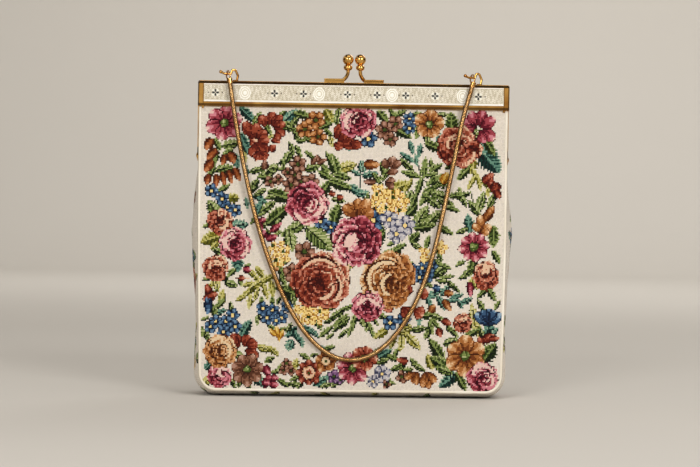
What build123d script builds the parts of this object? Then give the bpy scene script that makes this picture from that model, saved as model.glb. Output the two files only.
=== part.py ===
from build123d import *
from math import cos, radians, sin, tan
import os

# Needlepoint evening purse on a hinged metal frame, with a snake chain handle.
# Millimetres. The origin is the middle of the bottom. Front is -Y, up is +Z.

# Frame
frame_width = 196.0
frame_top = 197.0
bar_height = 16.0
bar_half_depth = 6.3
bar_wall = 1.4
bar_flange = 1.2
frame_corner = 1.3
leg_width = 3.6
leg_depth = 3.0
leg_foot_depth = 2.7
leg_wall = 1.1
seam_gap = 0.3
edge_round = 0.5

# Enamelled band set into each half
band_height = 11.4
band_below_top = 1.9
band_thickness = 0.75
band_recess = 0.5
band_gap = 0.1
band_border = 0.9
band_border_rise = 0.25
band_boss_rise = 0.2
medallion_radius = 4.2
cross_petal_radius = 1.0
cross_petal_reach = 1.5
ornament_pitch = 18.4
ornaments_each_side = 4

# Hinges, one at the foot of each leg
hinge_height = 150.0
ear_radius = 3.4
ear_thickness = 1.0
ear_gap = 0.4
pin_radius = 1.2
pin_clearance = 0.06
pin_head_radius = 2.2
pin_head_height = 0.9
pin_inner_head_height = 0.7
pin_end_play = 0.2
hinge_room = 1.1

# Kiss clasp
clasp_base_length = 12.6
clasp_base_width = 4.4
clasp_base_height = 2.6
clasp_base_start = 6.3
clasp_offset = 3.85
ball_radius = 3.5
bead_radius = 2.8
bead_height = 3.6
clasp_stem_radius = 1.15
clasp_neck_radius = 1.4
clasp_rise = 8.0

# Chain and the two wire hooks that carry it
hook_left = -74.6
hook_right = 79.0
hook_setback = 1.9
hook_turn = 20.0
hook_wire_radius = 0.75
hook_tip_radius = 1.1
hook_foot_radius = 1.7
hook_foot_height = 0.5
loop_width = 4.8
loop_height = 6.4
loop_wire_radius = 0.45
loop_slack = 0.4
loop_turn = 25.0
chain_radius = 1.55
chain_cap_radius = 1.75
chain_cap_length = 3.2
chain_front = 9.2
chain_rake = 4.9

# Bag
panel_thickness = 1.6
panel_tuck = 3.0
panel_notch = 0.4
panel_notch_height = 2.6
panel_notch_rise = 2.2
notch_round = 0.3
panel_top_inset = 1.6
panel_shoulder_inset = 2.1
panel_foot_inset = 4.7
panel_corner = 10.0
piping_radius = 1.1
piping_seam = 0.05
piping_trim = 0.6
piping_height = 4.4
piping_start = 0.3
tuck_room = 0.7
tuck_drop = 9.0
tuck_swell = 0.7
neck_depth = 6.6
shoulder_depth = 13.2
shoulder_height = 105.0
belly_depth = 19.2
belly_height = 55.0
foot_depth = 22.4
gusset_thickness = 1.6
gusset_top_gap = 0.6
gusset_seam = 0.2
gusset_bend = 10.0
bottom_flat = 15.0
back_fold_above = 6.0
back_fold_below = 2.2

# Lining and the slip pocket sewn to its back wall
lining_gap = 0.3
lining_thickness = 0.8
lining_side_room = 1.2
lining_heel = 8.0
lining_lap = 1.2
lining_lift = 0.9
lining_flat = 13.0
lining_corner = 13.0
pocket_width = 84.0
pocket_height = 62.0
pocket_bottom = 42.0
pocket_room = 0.9
pocket_thickness = 0.6

# Worked flowers, raised over the ground stitches
stitch = 0.84
flower_rise = 0.35
petal_notch = 0.8
leaf_slim = 0.42

# Places that follow from the sizes above
half_width = frame_width / 2
panel_half_top = half_width - panel_top_inset
panel_half_shoulder = half_width - panel_shoulder_inset
panel_half_foot = half_width - panel_foot_inset
bar_bottom = frame_top - bar_height
leg_inner = half_width - leg_width
half_seam = seam_gap / 2
panel_top = bar_bottom + panel_tuck
bar_inner_depth = bar_half_depth - bar_wall
tuck_depth = bar_inner_depth - tuck_room
leg_foot = hinge_height + ear_radius + hinge_room
front_ear = half_width - ear_thickness
back_ear = front_ear - ear_gap - ear_thickness
gusset_top = hinge_height - ear_radius - gusset_top_gap
fold_top = hinge_height + back_fold_above
fold_bottom = hinge_height - back_fold_below
far = 400.0

os.makedirs("parts", exist_ok=True)


def turn_at(before, here, after):
    return (here - before).get_angle(after - here)


def easy_radii(points):
    # Each bend is as wide as the shorter of its two runs allows.
    spots = [Vector(*point) for point in points]
    radii = []
    for before, here, after in zip(spots, spots[1:], spots[2:]):
        shorter = min((here - before).length, (after - here).length)
        half_turn = radians(turn_at(before, here, after)) / 2
        radii.append(0.45 * shorter / tan(half_turn))
    return radii


def save(part, name):
    part.label = name
    export_step(part, f"parts/{name}.step")


# Frame halves

def half_frame(back):
    # The front half; the back half is its mirror image with the ears set inside.
    ear_x = back_ear if back else front_ear
    hole = pin_radius + pin_clearance if back else pin_radius
    with BuildPart() as half:
        with BuildSketch(Plane.XZ.offset(half_seam)):
            with Locations((0, bar_bottom + bar_height / 2)):
                Rectangle(frame_width, bar_height)
            corners = faces().vertices().group_by(Axis.Y)[-1]
            fillet(corners, frame_corner)
        extrude(amount=bar_half_depth - half_seam)
        front_edge = half.edges().filter_by(Axis.X).group_by(Axis.Z)[-1].sort_by(Axis.Y)[0]
        fillet(front_edge, edge_round)
        # The channel behind the front wall takes the cloth.
        channel_height = bar_height - bar_flange
        with BuildSketch(Plane.XZ):
            with Locations((0, bar_bottom + channel_height / 2)):
                Rectangle(2 * leg_inner, channel_height)
        extrude(amount=bar_inner_depth, mode=Mode.SUBTRACT)
        # The front wall is recessed for the band.
        with BuildSketch(Plane.XZ.offset(bar_half_depth - band_recess)):
            with Locations((0, frame_top - band_below_top - band_height / 2)):
                Rectangle(2 * leg_inner, band_height)
        extrude(amount=band_recess + 1, mode=Mode.SUBTRACT)
        for side in (-1, 1):
            inner, outer = sorted((side * leg_inner, side * half_width))
            with BuildSketch(Plane.YZ.offset(inner)):
                with BuildLine():
                    Polyline(
                        (-half_seam, bar_bottom + 1),
                        (-leg_depth, bar_bottom + 1),
                        (-leg_depth, bar_bottom - bar_height),
                        (-leg_foot_depth, leg_foot),
                        (-half_seam, leg_foot),
                        close=True,
                    )
                make_face()
            extrude(amount=outer - inner)
            # Each leg is a channel that is open towards the bag.
            with BuildSketch(Plane.YZ.offset(side * (half_width - leg_wall))):
                with Locations((-half_seam - leg_foot_depth / 2, (bar_bottom + leg_foot) / 2)):
                    Rectangle(leg_foot_depth - 2 * leg_wall + 0.8, bar_bottom - leg_foot - 4)
            extrude(amount=-side * (leg_width - leg_wall), mode=Mode.SUBTRACT)
            ear_start, ear_end = sorted((side * ear_x, side * (ear_x + ear_thickness)))
            with BuildSketch(Plane.YZ.offset(ear_start)):
                with Locations((0, hinge_height)):
                    Circle(ear_radius)
                with BuildLine():
                    Polyline(
                        (-half_seam, leg_foot + 1),
                        (-leg_foot_depth, leg_foot + 1),
                        (-ear_radius, hinge_height),
                        (-half_seam, hinge_height),
                        close=True,
                    )
                make_face()
                with Locations((0, hinge_height)):
                    Circle(hole, mode=Mode.SUBTRACT)
            extrude(amount=ear_end - ear_start)
    if back:
        return mirror(half.part, about=Plane.XZ)
    return half.part


save(half_frame(back=False), "front_frame")
save(half_frame(back=True), "back_frame")


# Enamelled bands

def band(back):
    middle = frame_top - band_below_top - band_height / 2
    height = band_height - 2 * band_gap
    length = 2 * (leg_inner - band_gap)
    face = bar_half_depth - band_recess + band_thickness
    places = [(side * ornament_pitch * number, middle)
              for number in range(ornaments_each_side + 1)
              for side in ((-1, 1) if number else (1,))]
    crosses = [place for place in places if round(abs(place[0]) / ornament_pitch) % 2 == 0]
    medallions = [place for place in places if place not in crosses]
    petals = [(x + cross_petal_reach * dx, z + cross_petal_reach * dz)
              for x, z in crosses for dx, dz in ((1, 0), (-1, 0), (0, 1), (0, -1))]
    with BuildPart() as plate:
        with BuildSketch(Plane.XZ.offset(bar_half_depth - band_recess)):
            with Locations((0, middle)):
                Rectangle(length, height)
        extrude(amount=band_thickness)
        # A raised border runs along the top and the bottom.
        with BuildSketch(Plane.XZ.offset(face)):
            with Locations((0, middle + (height - band_border) / 2),
                           (0, middle - (height - band_border) / 2)):
                Rectangle(length, band_border)
        extrude(amount=band_border_rise)
        # Ringed medallions stand proud of it, and four-petal crosses are pierced into it.
        with BuildSketch(Plane.XZ.offset(face)):
            with Locations(medallions):
                RegularPolygon(medallion_radius, 16)
                RegularPolygon(medallion_radius * 0.72, 16, mode=Mode.SUBTRACT)
                RegularPolygon(medallion_radius * 0.45, 12)
        extrude(amount=band_boss_rise)
        with BuildSketch(Plane.XZ.offset(face)):
            with Locations(petals):
                RegularPolygon(cross_petal_radius, 6)
        extrude(amount=-band_recess, mode=Mode.SUBTRACT)
    if back:
        return mirror(plate.part, about=Plane.XZ)
    return plate.part


save(band(back=False), "front_band")
save(band(back=True), "back_band")


# Hinge pins, a rivet through each pair of ears

def hinge_pin(side):
    inner_face = back_ear - pin_end_play
    shank = half_width - inner_face
    dome = (pin_head_radius**2 + pin_head_height**2) / (2 * pin_head_height)
    dome_middle = pin_head_height - dome + (dome**2 - pin_head_radius**2 / 4) ** 0.5
    with BuildPart() as pin:
        with BuildSketch(Plane.XY):
            with BuildLine():
                Line((0, -pin_inner_head_height), (pin_head_radius * 0.8, -pin_inner_head_height))
                Line((pin_head_radius * 0.8, -pin_inner_head_height), (pin_head_radius * 0.8, 0))
                Line((pin_head_radius * 0.8, 0), (pin_radius, 0))
                Line((pin_radius, 0), (pin_radius, shank))
                Line((pin_radius, shank), (pin_head_radius, shank))
                ThreePointArc(
                    (pin_head_radius, shank),
                    (pin_head_radius / 2, shank + dome_middle),
                    (0, shank + pin_head_height),
                )
                Line((0, shank + pin_head_height), (0, -pin_inner_head_height))
            make_face()
        revolve(axis=Axis.Y)
    turned = pin.part.rotate(Axis.Z, -90)
    placed = turned.moved(Location((inner_face, 0, hinge_height)))
    return placed if side > 0 else mirror(placed, about=Plane.YZ)


save(hinge_pin(-1), "hinge_pin_left")
save(hinge_pin(1), "hinge_pin_right")


# Kiss clasp, a base, a bent stem, a bead and a ball on each half

def clasp_knob(back):
    seat_y = -(bar_half_depth + half_seam) / 2 - 0.2
    bead_low = frame_top + clasp_rise
    bead_middle = bead_low + bead_height / 2
    ball_low = bead_low + bead_height
    ball_middle = ball_low + (ball_radius**2 - clasp_neck_radius**2) ** 0.5
    stem_foot = frame_top + clasp_base_height / 2
    with BuildPart() as knob:
        with BuildSketch(Plane.XY.offset(frame_top)):
            with Locations((-clasp_base_start - clasp_base_length / 2, seat_y)):
                Rectangle(clasp_base_length, clasp_base_width)
        extrude(amount=clasp_base_height)
        top_edges = knob.edges().filter_by(Axis.X).group_by(Axis.Z)[-1]
        fillet(top_edges, clasp_base_height * 0.45)
        with BuildLine() as stem_line:
            ThreePointArc(
                (-clasp_base_start - 1.5, seat_y, stem_foot),
                (-clasp_offset - 0.9, seat_y * 0.45, frame_top + clasp_rise * 0.52),
                (-clasp_offset, 0, bead_low + 0.4),
            )
        with BuildSketch(Plane(origin=stem_line.line @ 0, z_dir=stem_line.line % 0)):
            Circle(clasp_stem_radius)
        sweep(path=stem_line.line)
        with BuildSketch(Plane.XZ):
            with BuildLine():
                Line((-clasp_offset, bead_low), (-clasp_offset + clasp_stem_radius, bead_low))
                ThreePointArc(
                    (-clasp_offset + clasp_stem_radius, bead_low),
                    (-clasp_offset + bead_radius, bead_middle),
                    (-clasp_offset + clasp_neck_radius, ball_low),
                )
                ThreePointArc(
                    (-clasp_offset + clasp_neck_radius, ball_low),
                    (-clasp_offset + ball_radius, ball_middle),
                    (-clasp_offset, ball_middle + ball_radius),
                )
                Line((-clasp_offset, ball_middle + ball_radius), (-clasp_offset, bead_low))
            make_face()
        revolve(axis=Axis((-clasp_offset, 0, 0), (0, 0, 1)))
    return knob.part.rotate(Axis.Z, 180) if back else knob.part


save(clasp_knob(back=False), "front_clasp_knob")
save(clasp_knob(back=True), "back_clasp_knob")


# Chain hooks, a bent wire on a riveted foot

hook_y = -bar_half_depth + hook_setback
hook_bends = [(0.9, 0.2), (1.5, 3.4), (-0.2, 6.9), (-2.3, 6.9), (-3.0, 4.3), (-7.4, 4.3), (-9.8, 5.4)]
hook_bend_radius = 1.0
hook_seat = (-5.3, 4.3)


def chain_hook(x):
    ground = Plane(origin=(x, hook_y, frame_top), x_dir=(cos(radians(hook_turn)), sin(radians(hook_turn)), 0),
                   z_dir=(sin(radians(hook_turn)), -cos(radians(hook_turn)), 0))
    with BuildPart() as hook:
        with BuildLine(ground) as wire:
            FilletPolyline(*hook_bends, radius=hook_bend_radius)
        with BuildSketch(Plane(origin=wire.line @ 0, z_dir=wire.line % 0)):
            Circle(hook_wire_radius)
        sweep(path=wire.line)
        with Locations(wire.line @ 1):
            Sphere(hook_tip_radius)
        with BuildSketch(Plane.XY.offset(frame_top)):
            with Locations((x, hook_y)):
                Circle(hook_foot_radius)
        extrude(amount=hook_foot_height)
    return hook.part


save(chain_hook(hook_left), "chain_hook_left")
save(chain_hook(hook_right), "chain_hook_right")


# Snake chain, from cap to cap down the front of the bag

def chain_depth(z):
    return -chain_front - (chain_end_height - z) * tan(radians(chain_rake))


chain_ends = {"left": -77.9, "right": 74.0}
chain_end_height = 195.2
chain_route = [
    (chain_ends["left"], chain_end_height), (-75.7, 180.5), (-70.0, 150.0), (-62.2, 116.5),
    (-52.8, 86.5), (-41.5, 59.5), (-27.5, 37.5), (-11.0, 24.4), (5.5, 23.2), (20.0, 31.0),
    (32.0, 44.8), (42.0, 63.5), (50.2, 87.5), (56.2, 114.0), (61.8, 141.5), (67.4, 171.0),
    (70.8, 184.5), (chain_ends["right"], chain_end_height),
]
chain_points = [(x, chain_depth(z), z) for x, z in chain_route]
chain_radii = easy_radii(chain_points)
with BuildPart() as snake_chain:
    with BuildLine() as chain_line:
        FilletPolyline(*chain_points, radius=chain_radii)
    with BuildSketch(Plane(origin=chain_line.line @ 0, z_dir=chain_line.line % 0)):
        Circle(chain_radius)
    sweep(path=chain_line.line)
save(snake_chain.part, "snake_chain")
print("chain length", round(chain_line.wire().length, 1))
print("chain radii", [round(radius) for radius in chain_radii])


# Chain end loops, an oval wire link and the cap that grips the chain

def chain_loop(hook_x, end, away):
    # The link hangs on the hook, and the cap at its foot points along the chain.
    pivot = Vector(
        hook_x + hook_seat[0] * cos(radians(hook_turn)),
        hook_y + hook_seat[0] * sin(radians(hook_turn)),
        frame_top + hook_seat[1],
    )
    hang = hook_wire_radius + loop_wire_radius + loop_slack
    cap_start = end + away * chain_cap_length
    down = (cap_start - pivot).normalized()
    across = Vector(sin(radians(loop_turn)), -cos(radians(loop_turn)), 0)
    facing = across.cross(down).normalized()
    link = Plane(origin=pivot + down * (loop_height / 2 - hang), x_dir=down, z_dir=facing)
    bow = loop_width / 2
    straight = (loop_height - loop_width) / 2
    with BuildPart() as loop:
        with BuildLine(link) as oval:
            ThreePointArc((straight, -bow), (straight + bow, 0), (straight, bow))
            Line((straight, bow), (-straight, bow))
            ThreePointArc((-straight, bow), (-straight - bow, 0), (-straight, -bow))
            Line((-straight, -bow), (straight, -bow))
        with BuildSketch(Plane(origin=oval.line @ 0, z_dir=oval.line % 0)):
            Circle(loop_wire_radius)
        sweep(path=oval.line)
        with BuildSketch(Plane(origin=end, z_dir=away)):
            Circle(chain_cap_radius)
        extrude(amount=chain_cap_length)
    return loop.part


save(chain_loop(hook_left, chain_line.line @ 0, -(chain_line.line % 0)), "chain_loop_left")
save(chain_loop(hook_right, chain_line.line @ 1, chain_line.line % 1), "chain_loop_right")


# Bag: how deep the cloth stands in front at each height, and how wide it is there

depth_line = [
    (tuck_depth, panel_top),
    (neck_depth - tuck_swell, panel_top - tuck_drop),
    (neck_depth, hinge_height),
    (shoulder_depth, shoulder_height),
    (belly_depth, belly_height),
    (foot_depth, 0.0),
]
side_line = [
    (panel_half_top, bar_bottom - panel_notch_height),
    (panel_half_shoulder, shoulder_height),
    (panel_half_foot, piping_height),
]


def along(line, height):
    # The value of a line of (value, height) pairs at one height.
    if height > line[0][1]:
        return line[0][0]
    for (value, level), (below, lower) in zip(line, line[1:]):
        if height >= lower:
            return below + (value - below) * (height - lower) / (level - lower)
    return line[-1][0]


def sheet(inset, thickness):
    # A sheet across the whole width that follows the front's depth line.
    outer = [(inset - depth, height) for depth, height in depth_line]
    inner = [(y + thickness, height) for y, height in outer]
    radii = easy_radii([(0, *point) for point in outer])
    with BuildPart() as part:
        with BuildSketch(Plane.YZ):
            with BuildLine():
                FilletPolyline(*outer, radius=radii)
                FilletPolyline(*inner, radius=radii)
                Line(outer[0], inner[0])
                Line(outer[-1], inner[-1])
            make_face()
        extrude(amount=half_width, both=True)
    return part.part


def panel_outline(inset, low, corner):
    # The outline from the front, as a block that runs right through the bag.
    sides = [(x - inset, height) for x, height in side_line[:-1]] + [(panel_half_foot - inset, low)]
    notch_top = (leg_inner - panel_notch, bar_bottom - panel_notch_height + panel_notch_rise)
    right = [(notch_top[0], panel_top), notch_top, *sides]
    left = [(-x, z) for x, z in reversed(right)]
    loop = right + left
    bends = easy_radii([(0, *point) for point in sides])
    radii = [notch_round, notch_round, *bends, corner]
    radii = radii + radii[::-1]
    with BuildPart() as block:
        with BuildSketch(Plane.XZ):
            with BuildLine():
                FilletPolyline(*loop, radius=radii)
                Line(loop[-1], loop[0])
            make_face()
        extrude(amount=half_width, both=True)
    return block.part


def between(part, low, high):
    with BuildPart() as piece:
        add(part)
        with Locations((0, 0, (low + high) / 2)):
            Box(4 * half_width, 4 * half_width, high - low, mode=Mode.INTERSECT)
    return piece.part


def piping_run():
    # Centre line of the corded edge: down one side, along the bottom and up the other.
    middle = panel_thickness / 2
    levels = [height for _, height in depth_line if piping_height < height < bar_bottom]
    levels = [bar_bottom - piping_start, *levels, piping_height]
    right = [(along(side_line, level), middle - along(depth_line, level), level) for level in levels]
    left = [(-x, y, z) for x, y, z in reversed(right)]
    loop = right + left
    radii = easy_radii(loop)
    low = len(right) - 1
    radii[low - 1] = radii[low] = panel_corner
    with BuildPart() as cord:
        with BuildLine() as line:
            FilletPolyline(*loop, radius=radii)
        with BuildSketch(Plane(origin=line.line @ 0, z_dir=line.line % 0)):
            Circle(piping_radius)
        sweep(path=line.line)
    return cord.part


front_piping = piping_run()
save(front_piping, "front_piping")
back_piping = between(front_piping, -piping_radius, fold_bottom - piping_trim)
save(mirror(back_piping, about=Plane.XZ), "back_piping")
back_piping_top = between(front_piping, fold_top + piping_trim, frame_top)
save(mirror(back_piping_top, about=Plane.XZ), "back_piping_top")

# The panel stops at the piping, which is sewn round its edge.
seam = piping_radius + piping_seam
outline = panel_outline(seam, piping_height + seam, panel_corner - seam)
with BuildPart() as front_panel:
    add(sheet(0, panel_thickness))
    add(outline, mode=Mode.INTERSECT)
save(front_panel.part, "front_panel")
back_panel = between(front_panel.part, 0, fold_bottom)
save(mirror(back_panel, about=Plane.XZ), "back_panel")
back_panel_top = between(front_panel.part, fold_top, frame_top)
save(mirror(back_panel_top, about=Plane.XZ), "back_panel_top")


# Gusset, the strip that joins the panels: down one side, across the bottom, up the other

gusset_stations = [
    # height, how far it swells outwards, half of its flat middle
    (gusset_top, 0.9, 2.0),
    (130.0, 2.7, 3.0),
    (103.0, 5.3, 4.5),
    (72.0, 3.7, 7.0),
    (42.0, 3.1, 10.5),
    (piping_height + panel_corner, piping_height, bottom_flat),
]


def gusset_section(plane, half, swell, flat):
    with BuildSketch(plane) as section:
        with BuildLine():
            FilletPolyline((0, -half), (swell, -flat), (swell, flat), (0, half), radius=gusset_bend)
            offset(amount=gusset_thickness, side=Side.LEFT)
        make_face()
    return section.sketch


with BuildPart() as gusset_half:
    for height, swell, flat in gusset_stations:
        half = along(depth_line, height) - panel_thickness / 2 - piping_radius - gusset_seam
        edge = Plane(origin=(along(side_line, height), 0, height))
        add(gusset_section(edge, half, swell, flat))
    loft()
    corner_z = piping_height + panel_corner
    corner_x = along(side_line, corner_z) - panel_corner
    corner_face = gusset_half.faces().filter_by(Axis.Z).sort_by(Axis.Z)[0]
    revolve(corner_face, axis=Axis((corner_x, 0, corner_z), (0, 1, 0)), revolution_arc=90)
    bottom_face = gusset_half.faces().filter_by(Axis.X).sort_by(Axis.X)[0]
    extrude(bottom_face, amount=corner_x)
with BuildPart() as gusset:
    add(gusset_half.part)
    mirror(about=Plane.YZ)
save(gusset.part, "gusset")


# Lining, a sewn bag of satin inside the cloth, and its slip pocket

def lining_block(inset):
    # Everything inside a given distance from the cloth's outer face.
    low = gusset_thickness + lining_lift + inset - lining_inset
    front = [(inset - depth, height) for depth, height in depth_line[:-1]]
    radii = easy_radii([(0, *point) for point in front + [(inset - along(depth_line, lining_heel), lining_heel)]])
    with BuildPart() as block:
        with BuildSketch(Plane.YZ):
            with BuildLine():
                heel = (inset - along(depth_line, lining_heel), lining_heel)
                FilletPolyline(*front, heel, radius=radii)
                FilletPolyline(*[(-y, z) for y, z in front], (-heel[0], heel[1]), radius=radii)
                Line(heel, (-lining_flat, low))
                Line((-lining_flat, low), (lining_flat, low))
                Line((lining_flat, low), (-heel[0], heel[1]))
                Line(front[0], (-front[0][0], front[0][1]))
            make_face()
        extrude(amount=half_width, both=True)
        add(panel_outline(inset + lining_side_room, low, lining_corner), mode=Mode.INTERSECT)
    return block.part


lining_inset = panel_thickness + lining_gap
lining_inner = lining_inset + lining_thickness
with BuildPart() as lining_shell:
    add(lining_block(lining_inset))
    add(lining_block(lining_inner), mode=Mode.SUBTRACT)
with BuildPart() as lining:
    add(lining_shell.part)
    # Above the hinge only the front wall goes on, up into the frame.
    with Locations((0, -lining_lap, fold_bottom)):
        Box(far, far, far, align=(Align.CENTER, Align.MIN, Align.MIN), mode=Mode.SUBTRACT)
save(lining.part, "lining")
with BuildPart() as lining_back_top:
    add(between(lining_shell.part, fold_top, frame_top))
    with Locations((0, lining_lap, 0)):
        Box(far, far, far, align=(Align.CENTER, Align.MAX, Align.CENTER), mode=Mode.SUBTRACT)
save(lining_back_top.part, "lining_back_top")

with BuildPart() as slip_pocket:
    add(sheet(lining_inner, pocket_room + pocket_thickness))
    with Locations((0, 0, pocket_bottom)):
        Box(pocket_width, far, pocket_height, align=(Align.CENTER, Align.CENTER, Align.MIN),
            mode=Mode.INTERSECT)
with BuildPart() as pocket_space:
    add(sheet(lining_inner, pocket_room))
    with Locations((0, 0, pocket_bottom + pocket_thickness)):
        Box(pocket_width - 2 * pocket_thickness, far, pocket_height,
            align=(Align.CENTER, Align.CENTER, Align.MIN), mode=Mode.INTERSECT)
with BuildPart() as pocket_at_back:
    add(slip_pocket.part)
    add(pocket_space.part, mode=Mode.SUBTRACT)
    mirror(about=Plane.XZ, mode=Mode.REPLACE)
    add(lining_shell.part, mode=Mode.SUBTRACT)
save(pocket_at_back.part, "slip_pocket")


# Flowers and leaves of the needlework, by kind. Across and up are counted in stitches.

stitches_across = 230

roses = [
    (12.5, 91, 9), (27, 109, 10), (91.5, 82, 18), (118, 112, 16), (80.5, 141, 14),
    (127, 63, 11), (118, 201, 9), (194, 184, 14), (211, 201, 9), (18.5, 198, 12),
    (215.5, 13, 10), (16, 126, 9), (116.5, 17, 12), (126, 38, 7), (207, 109, 11),
    (83, 15, 9), (36, 14, 10),
]
amber_flowers = [
    (142.5, 85.5, 15), (15.5, 30, 11), (202, 28, 14), (172, 199, 10), (118, 138, 10),
    (217, 88, 9), (87, 202, 8), (53, 202, 7), (211.5, 127, 8), (99, 38, 6), (200, 54, 6),
    (161, 67, 8), (8, 178, 6), (45, 186, 7), (163, 11, 6), (104, 188, 7), (36, 35, 6),
]
mauve_flowers = [
    (74, 172, 6), (68, 161, 6), (84, 163, 6), (143, 130, 6), (155, 125, 6), (148, 116, 6),
    (138, 198, 6), (68, 18, 6), (138, 14, 6), (69, 90, 6), (48, 168, 5), (144, 170, 6),
    (104, 8, 5), (128, 157, 5),
]
blue_flowers = [
    (25, 56, 5), (12, 51, 5), (20, 45, 5), (8, 41, 5), (48, 61, 5), (58, 57, 5), (67, 63, 4),
    (162, 91, 5), (174, 93, 5), (169, 85, 4), (9, 149, 5), (18, 143, 5), (27, 136, 5),
    (145, 51, 5), (155, 55, 5), (219, 57, 7), (95, 125, 5), (157, 203, 5), (130, 129, 6),
]
gold_flowers = [
    (63, 104, 6), (56, 97, 6), (78, 64, 6), (85, 55, 5), (92, 61, 5), (133, 149, 6),
    (146, 147, 6), (140, 138, 6), (152, 138, 5), (184, 162, 5), (75, 42, 5),
]
# A leaf is its middle, half its length and the way it points, in degrees.
leaves = [
    (6, 80, 8, 100), (29, 92, 7, 60), (24, 80, 7, 20), (36, 84, 7, 140), (38, 72, 8, 100),
    (55, 82, 9, 60), (48, 76, 8, 120), (68, 74, 8, 150), (55, 44, 8, 40), (66, 36, 8, 110),
    (84, 43, 9, 60), (96, 47, 8, 30), (109, 55, 9, 110), (30, 24, 8, 140), (51, 27, 8, 20),
    (52, 10, 8, 60), (62, 30, 8, 100), (66, 6, 7, 10), (99, 22, 8, 120), (99, 8, 6, 60),
    (130, 22, 9, 60), (146, 32, 9, 100), (155, 22, 9, 20), (152, 41, 8, 150), (166, 36, 8, 60),
    (176, 55, 9, 20), (172, 46, 8, 140), (184, 40, 9, 70), (183, 22, 9, 110), (178, 10, 9, 20),
    (195, 8, 7, 150), (219, 31, 8, 80), (208, 44, 7, 130), (213, 70, 8, 40), (199, 72, 9, 10),
    (187, 70, 9, 170), (178, 77, 9, 60), (186, 90, 9, 110), (198, 92, 9, 40), (205, 84, 7, 100),
    (123, 49, 8, 20), (135, 44, 8, 120), (163, 103, 9, 20), (152, 102, 8, 130), (181, 108, 9, 60),
    (170, 119, 10, 150), (184, 126, 10, 20), (166, 133, 9, 110), (176, 145, 9, 60),
    (192, 143, 10, 130), (199, 122, 8, 60), (204, 139, 8, 20), (221, 145, 8, 100),
    (212, 155, 9, 60), (213, 176, 11, 110), (200, 164, 9, 30), (178, 163, 10, 40),
    (165, 160, 10, 120), (158, 172, 9, 60), (166, 182, 9, 100), (178, 180, 9, 20),
    (187, 200, 8, 90), (221, 190, 8, 100), (152, 190, 8, 40), (134, 184, 8, 130),
    (122, 168, 10, 70), (119, 153, 9, 100), (133, 172, 7, 30), (106, 172, 9, 60), (99, 162, 9, 20),
    (102, 151, 9, 150), (104, 133, 8, 60), (84, 119, 9, 110), (70, 119, 9, 30), (62, 132, 10, 0),
    (60, 148, 9, 150), (48, 141, 9, 40), (45, 154, 8, 110), (57, 163, 8, 60), (80, 182, 8, 20),
    (66, 182, 8, 100), (71, 198, 7, 90), (36, 204, 7, 60), (30, 184, 8, 20), (20, 180, 8, 120),
    (13, 166, 8, 60), (27, 167, 8, 150), (25, 149, 7, 40), (9, 137, 6, 100), (30, 124, 7, 80),
    (8, 113, 7, 60), (103, 200, 7, 100), (116, 185, 6, 30), (48, 123, 8, 60), (67, 108, 7, 150),
    (83, 102, 7, 120), (39, 51, 8, 150), (75, 29, 7, 20), (94, 31, 7, 170), (6, 66, 7, 60),
]


def spot(across, up):
    height = piping_height + up * stitch
    return ((2 * across / stitches_across - 1) * along(side_line, height), height)


def flower_face(across, up, size, petals):
    # A scalloped outline, with a point on each petal and one in each notch.
    x, z = spot(across, up)
    ring = []
    for step in range(2 * petals):
        reach = size * stitch * (1 if step % 2 == 0 else petal_notch)
        turn = radians(180 * step / petals)
        ring.append((x + reach * cos(turn), z + reach * sin(turn)))
    return make_face(Polyline(*ring, close=True).edges())


def leaf_face(across, up, half, turn):
    x, z = spot(across, up)
    along_leaf = Vector(cos(radians(turn)), sin(radians(turn)))
    aside = Vector(-along_leaf.Y, along_leaf.X) * (leaf_slim * half * stitch)
    along_leaf = along_leaf * (half * stitch)
    ring = []
    for forward, sideways in ((1, 0), (0.35, 1), (-0.45, 0.8), (-1, 0), (-0.45, -0.8), (0.35, -1)):
        ring.append((x + forward * along_leaf.X + sideways * aside.X,
                     z + forward * along_leaf.Y + sideways * aside.Y))
    return make_face(Polyline(*ring, close=True).edges())


kinds = {
    "roses": (roses, 7),
    "amber_flowers": (amber_flowers, 6),
    "mauve_flowers": (mauve_flowers, 5),
    "blue_flowers": (blue_flowers, 5),
    "gold_flowers": (gold_flowers, 6),
}
skin = sheet(-flower_rise, flower_rise)
taken = []
for kind, (places, petals) in [*kinds.items(), ("leaves", (leaves, 0))]:
    shapes = [flower_face(*place, petals) if petals else leaf_face(*place) for place in places]
    with BuildPart() as raised:
        with BuildSketch(Plane.XZ) as field:
            add(shapes)
            if taken:
                add(taken, mode=Mode.SUBTRACT)
        extrude(amount=half_width)
        add(skin, mode=Mode.INTERSECT)
    taken.extend(field.sketch_local.faces())
    save(raised.part, f"front_{kind}")
    print(kind, len(raised.part.solids()), round(raised.part.volume), raised.part.is_valid)
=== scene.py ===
import bpy
import numpy as np
from math import ceil, cos, pi, radians, sin, sqrt, tan
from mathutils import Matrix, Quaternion, Vector


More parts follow.
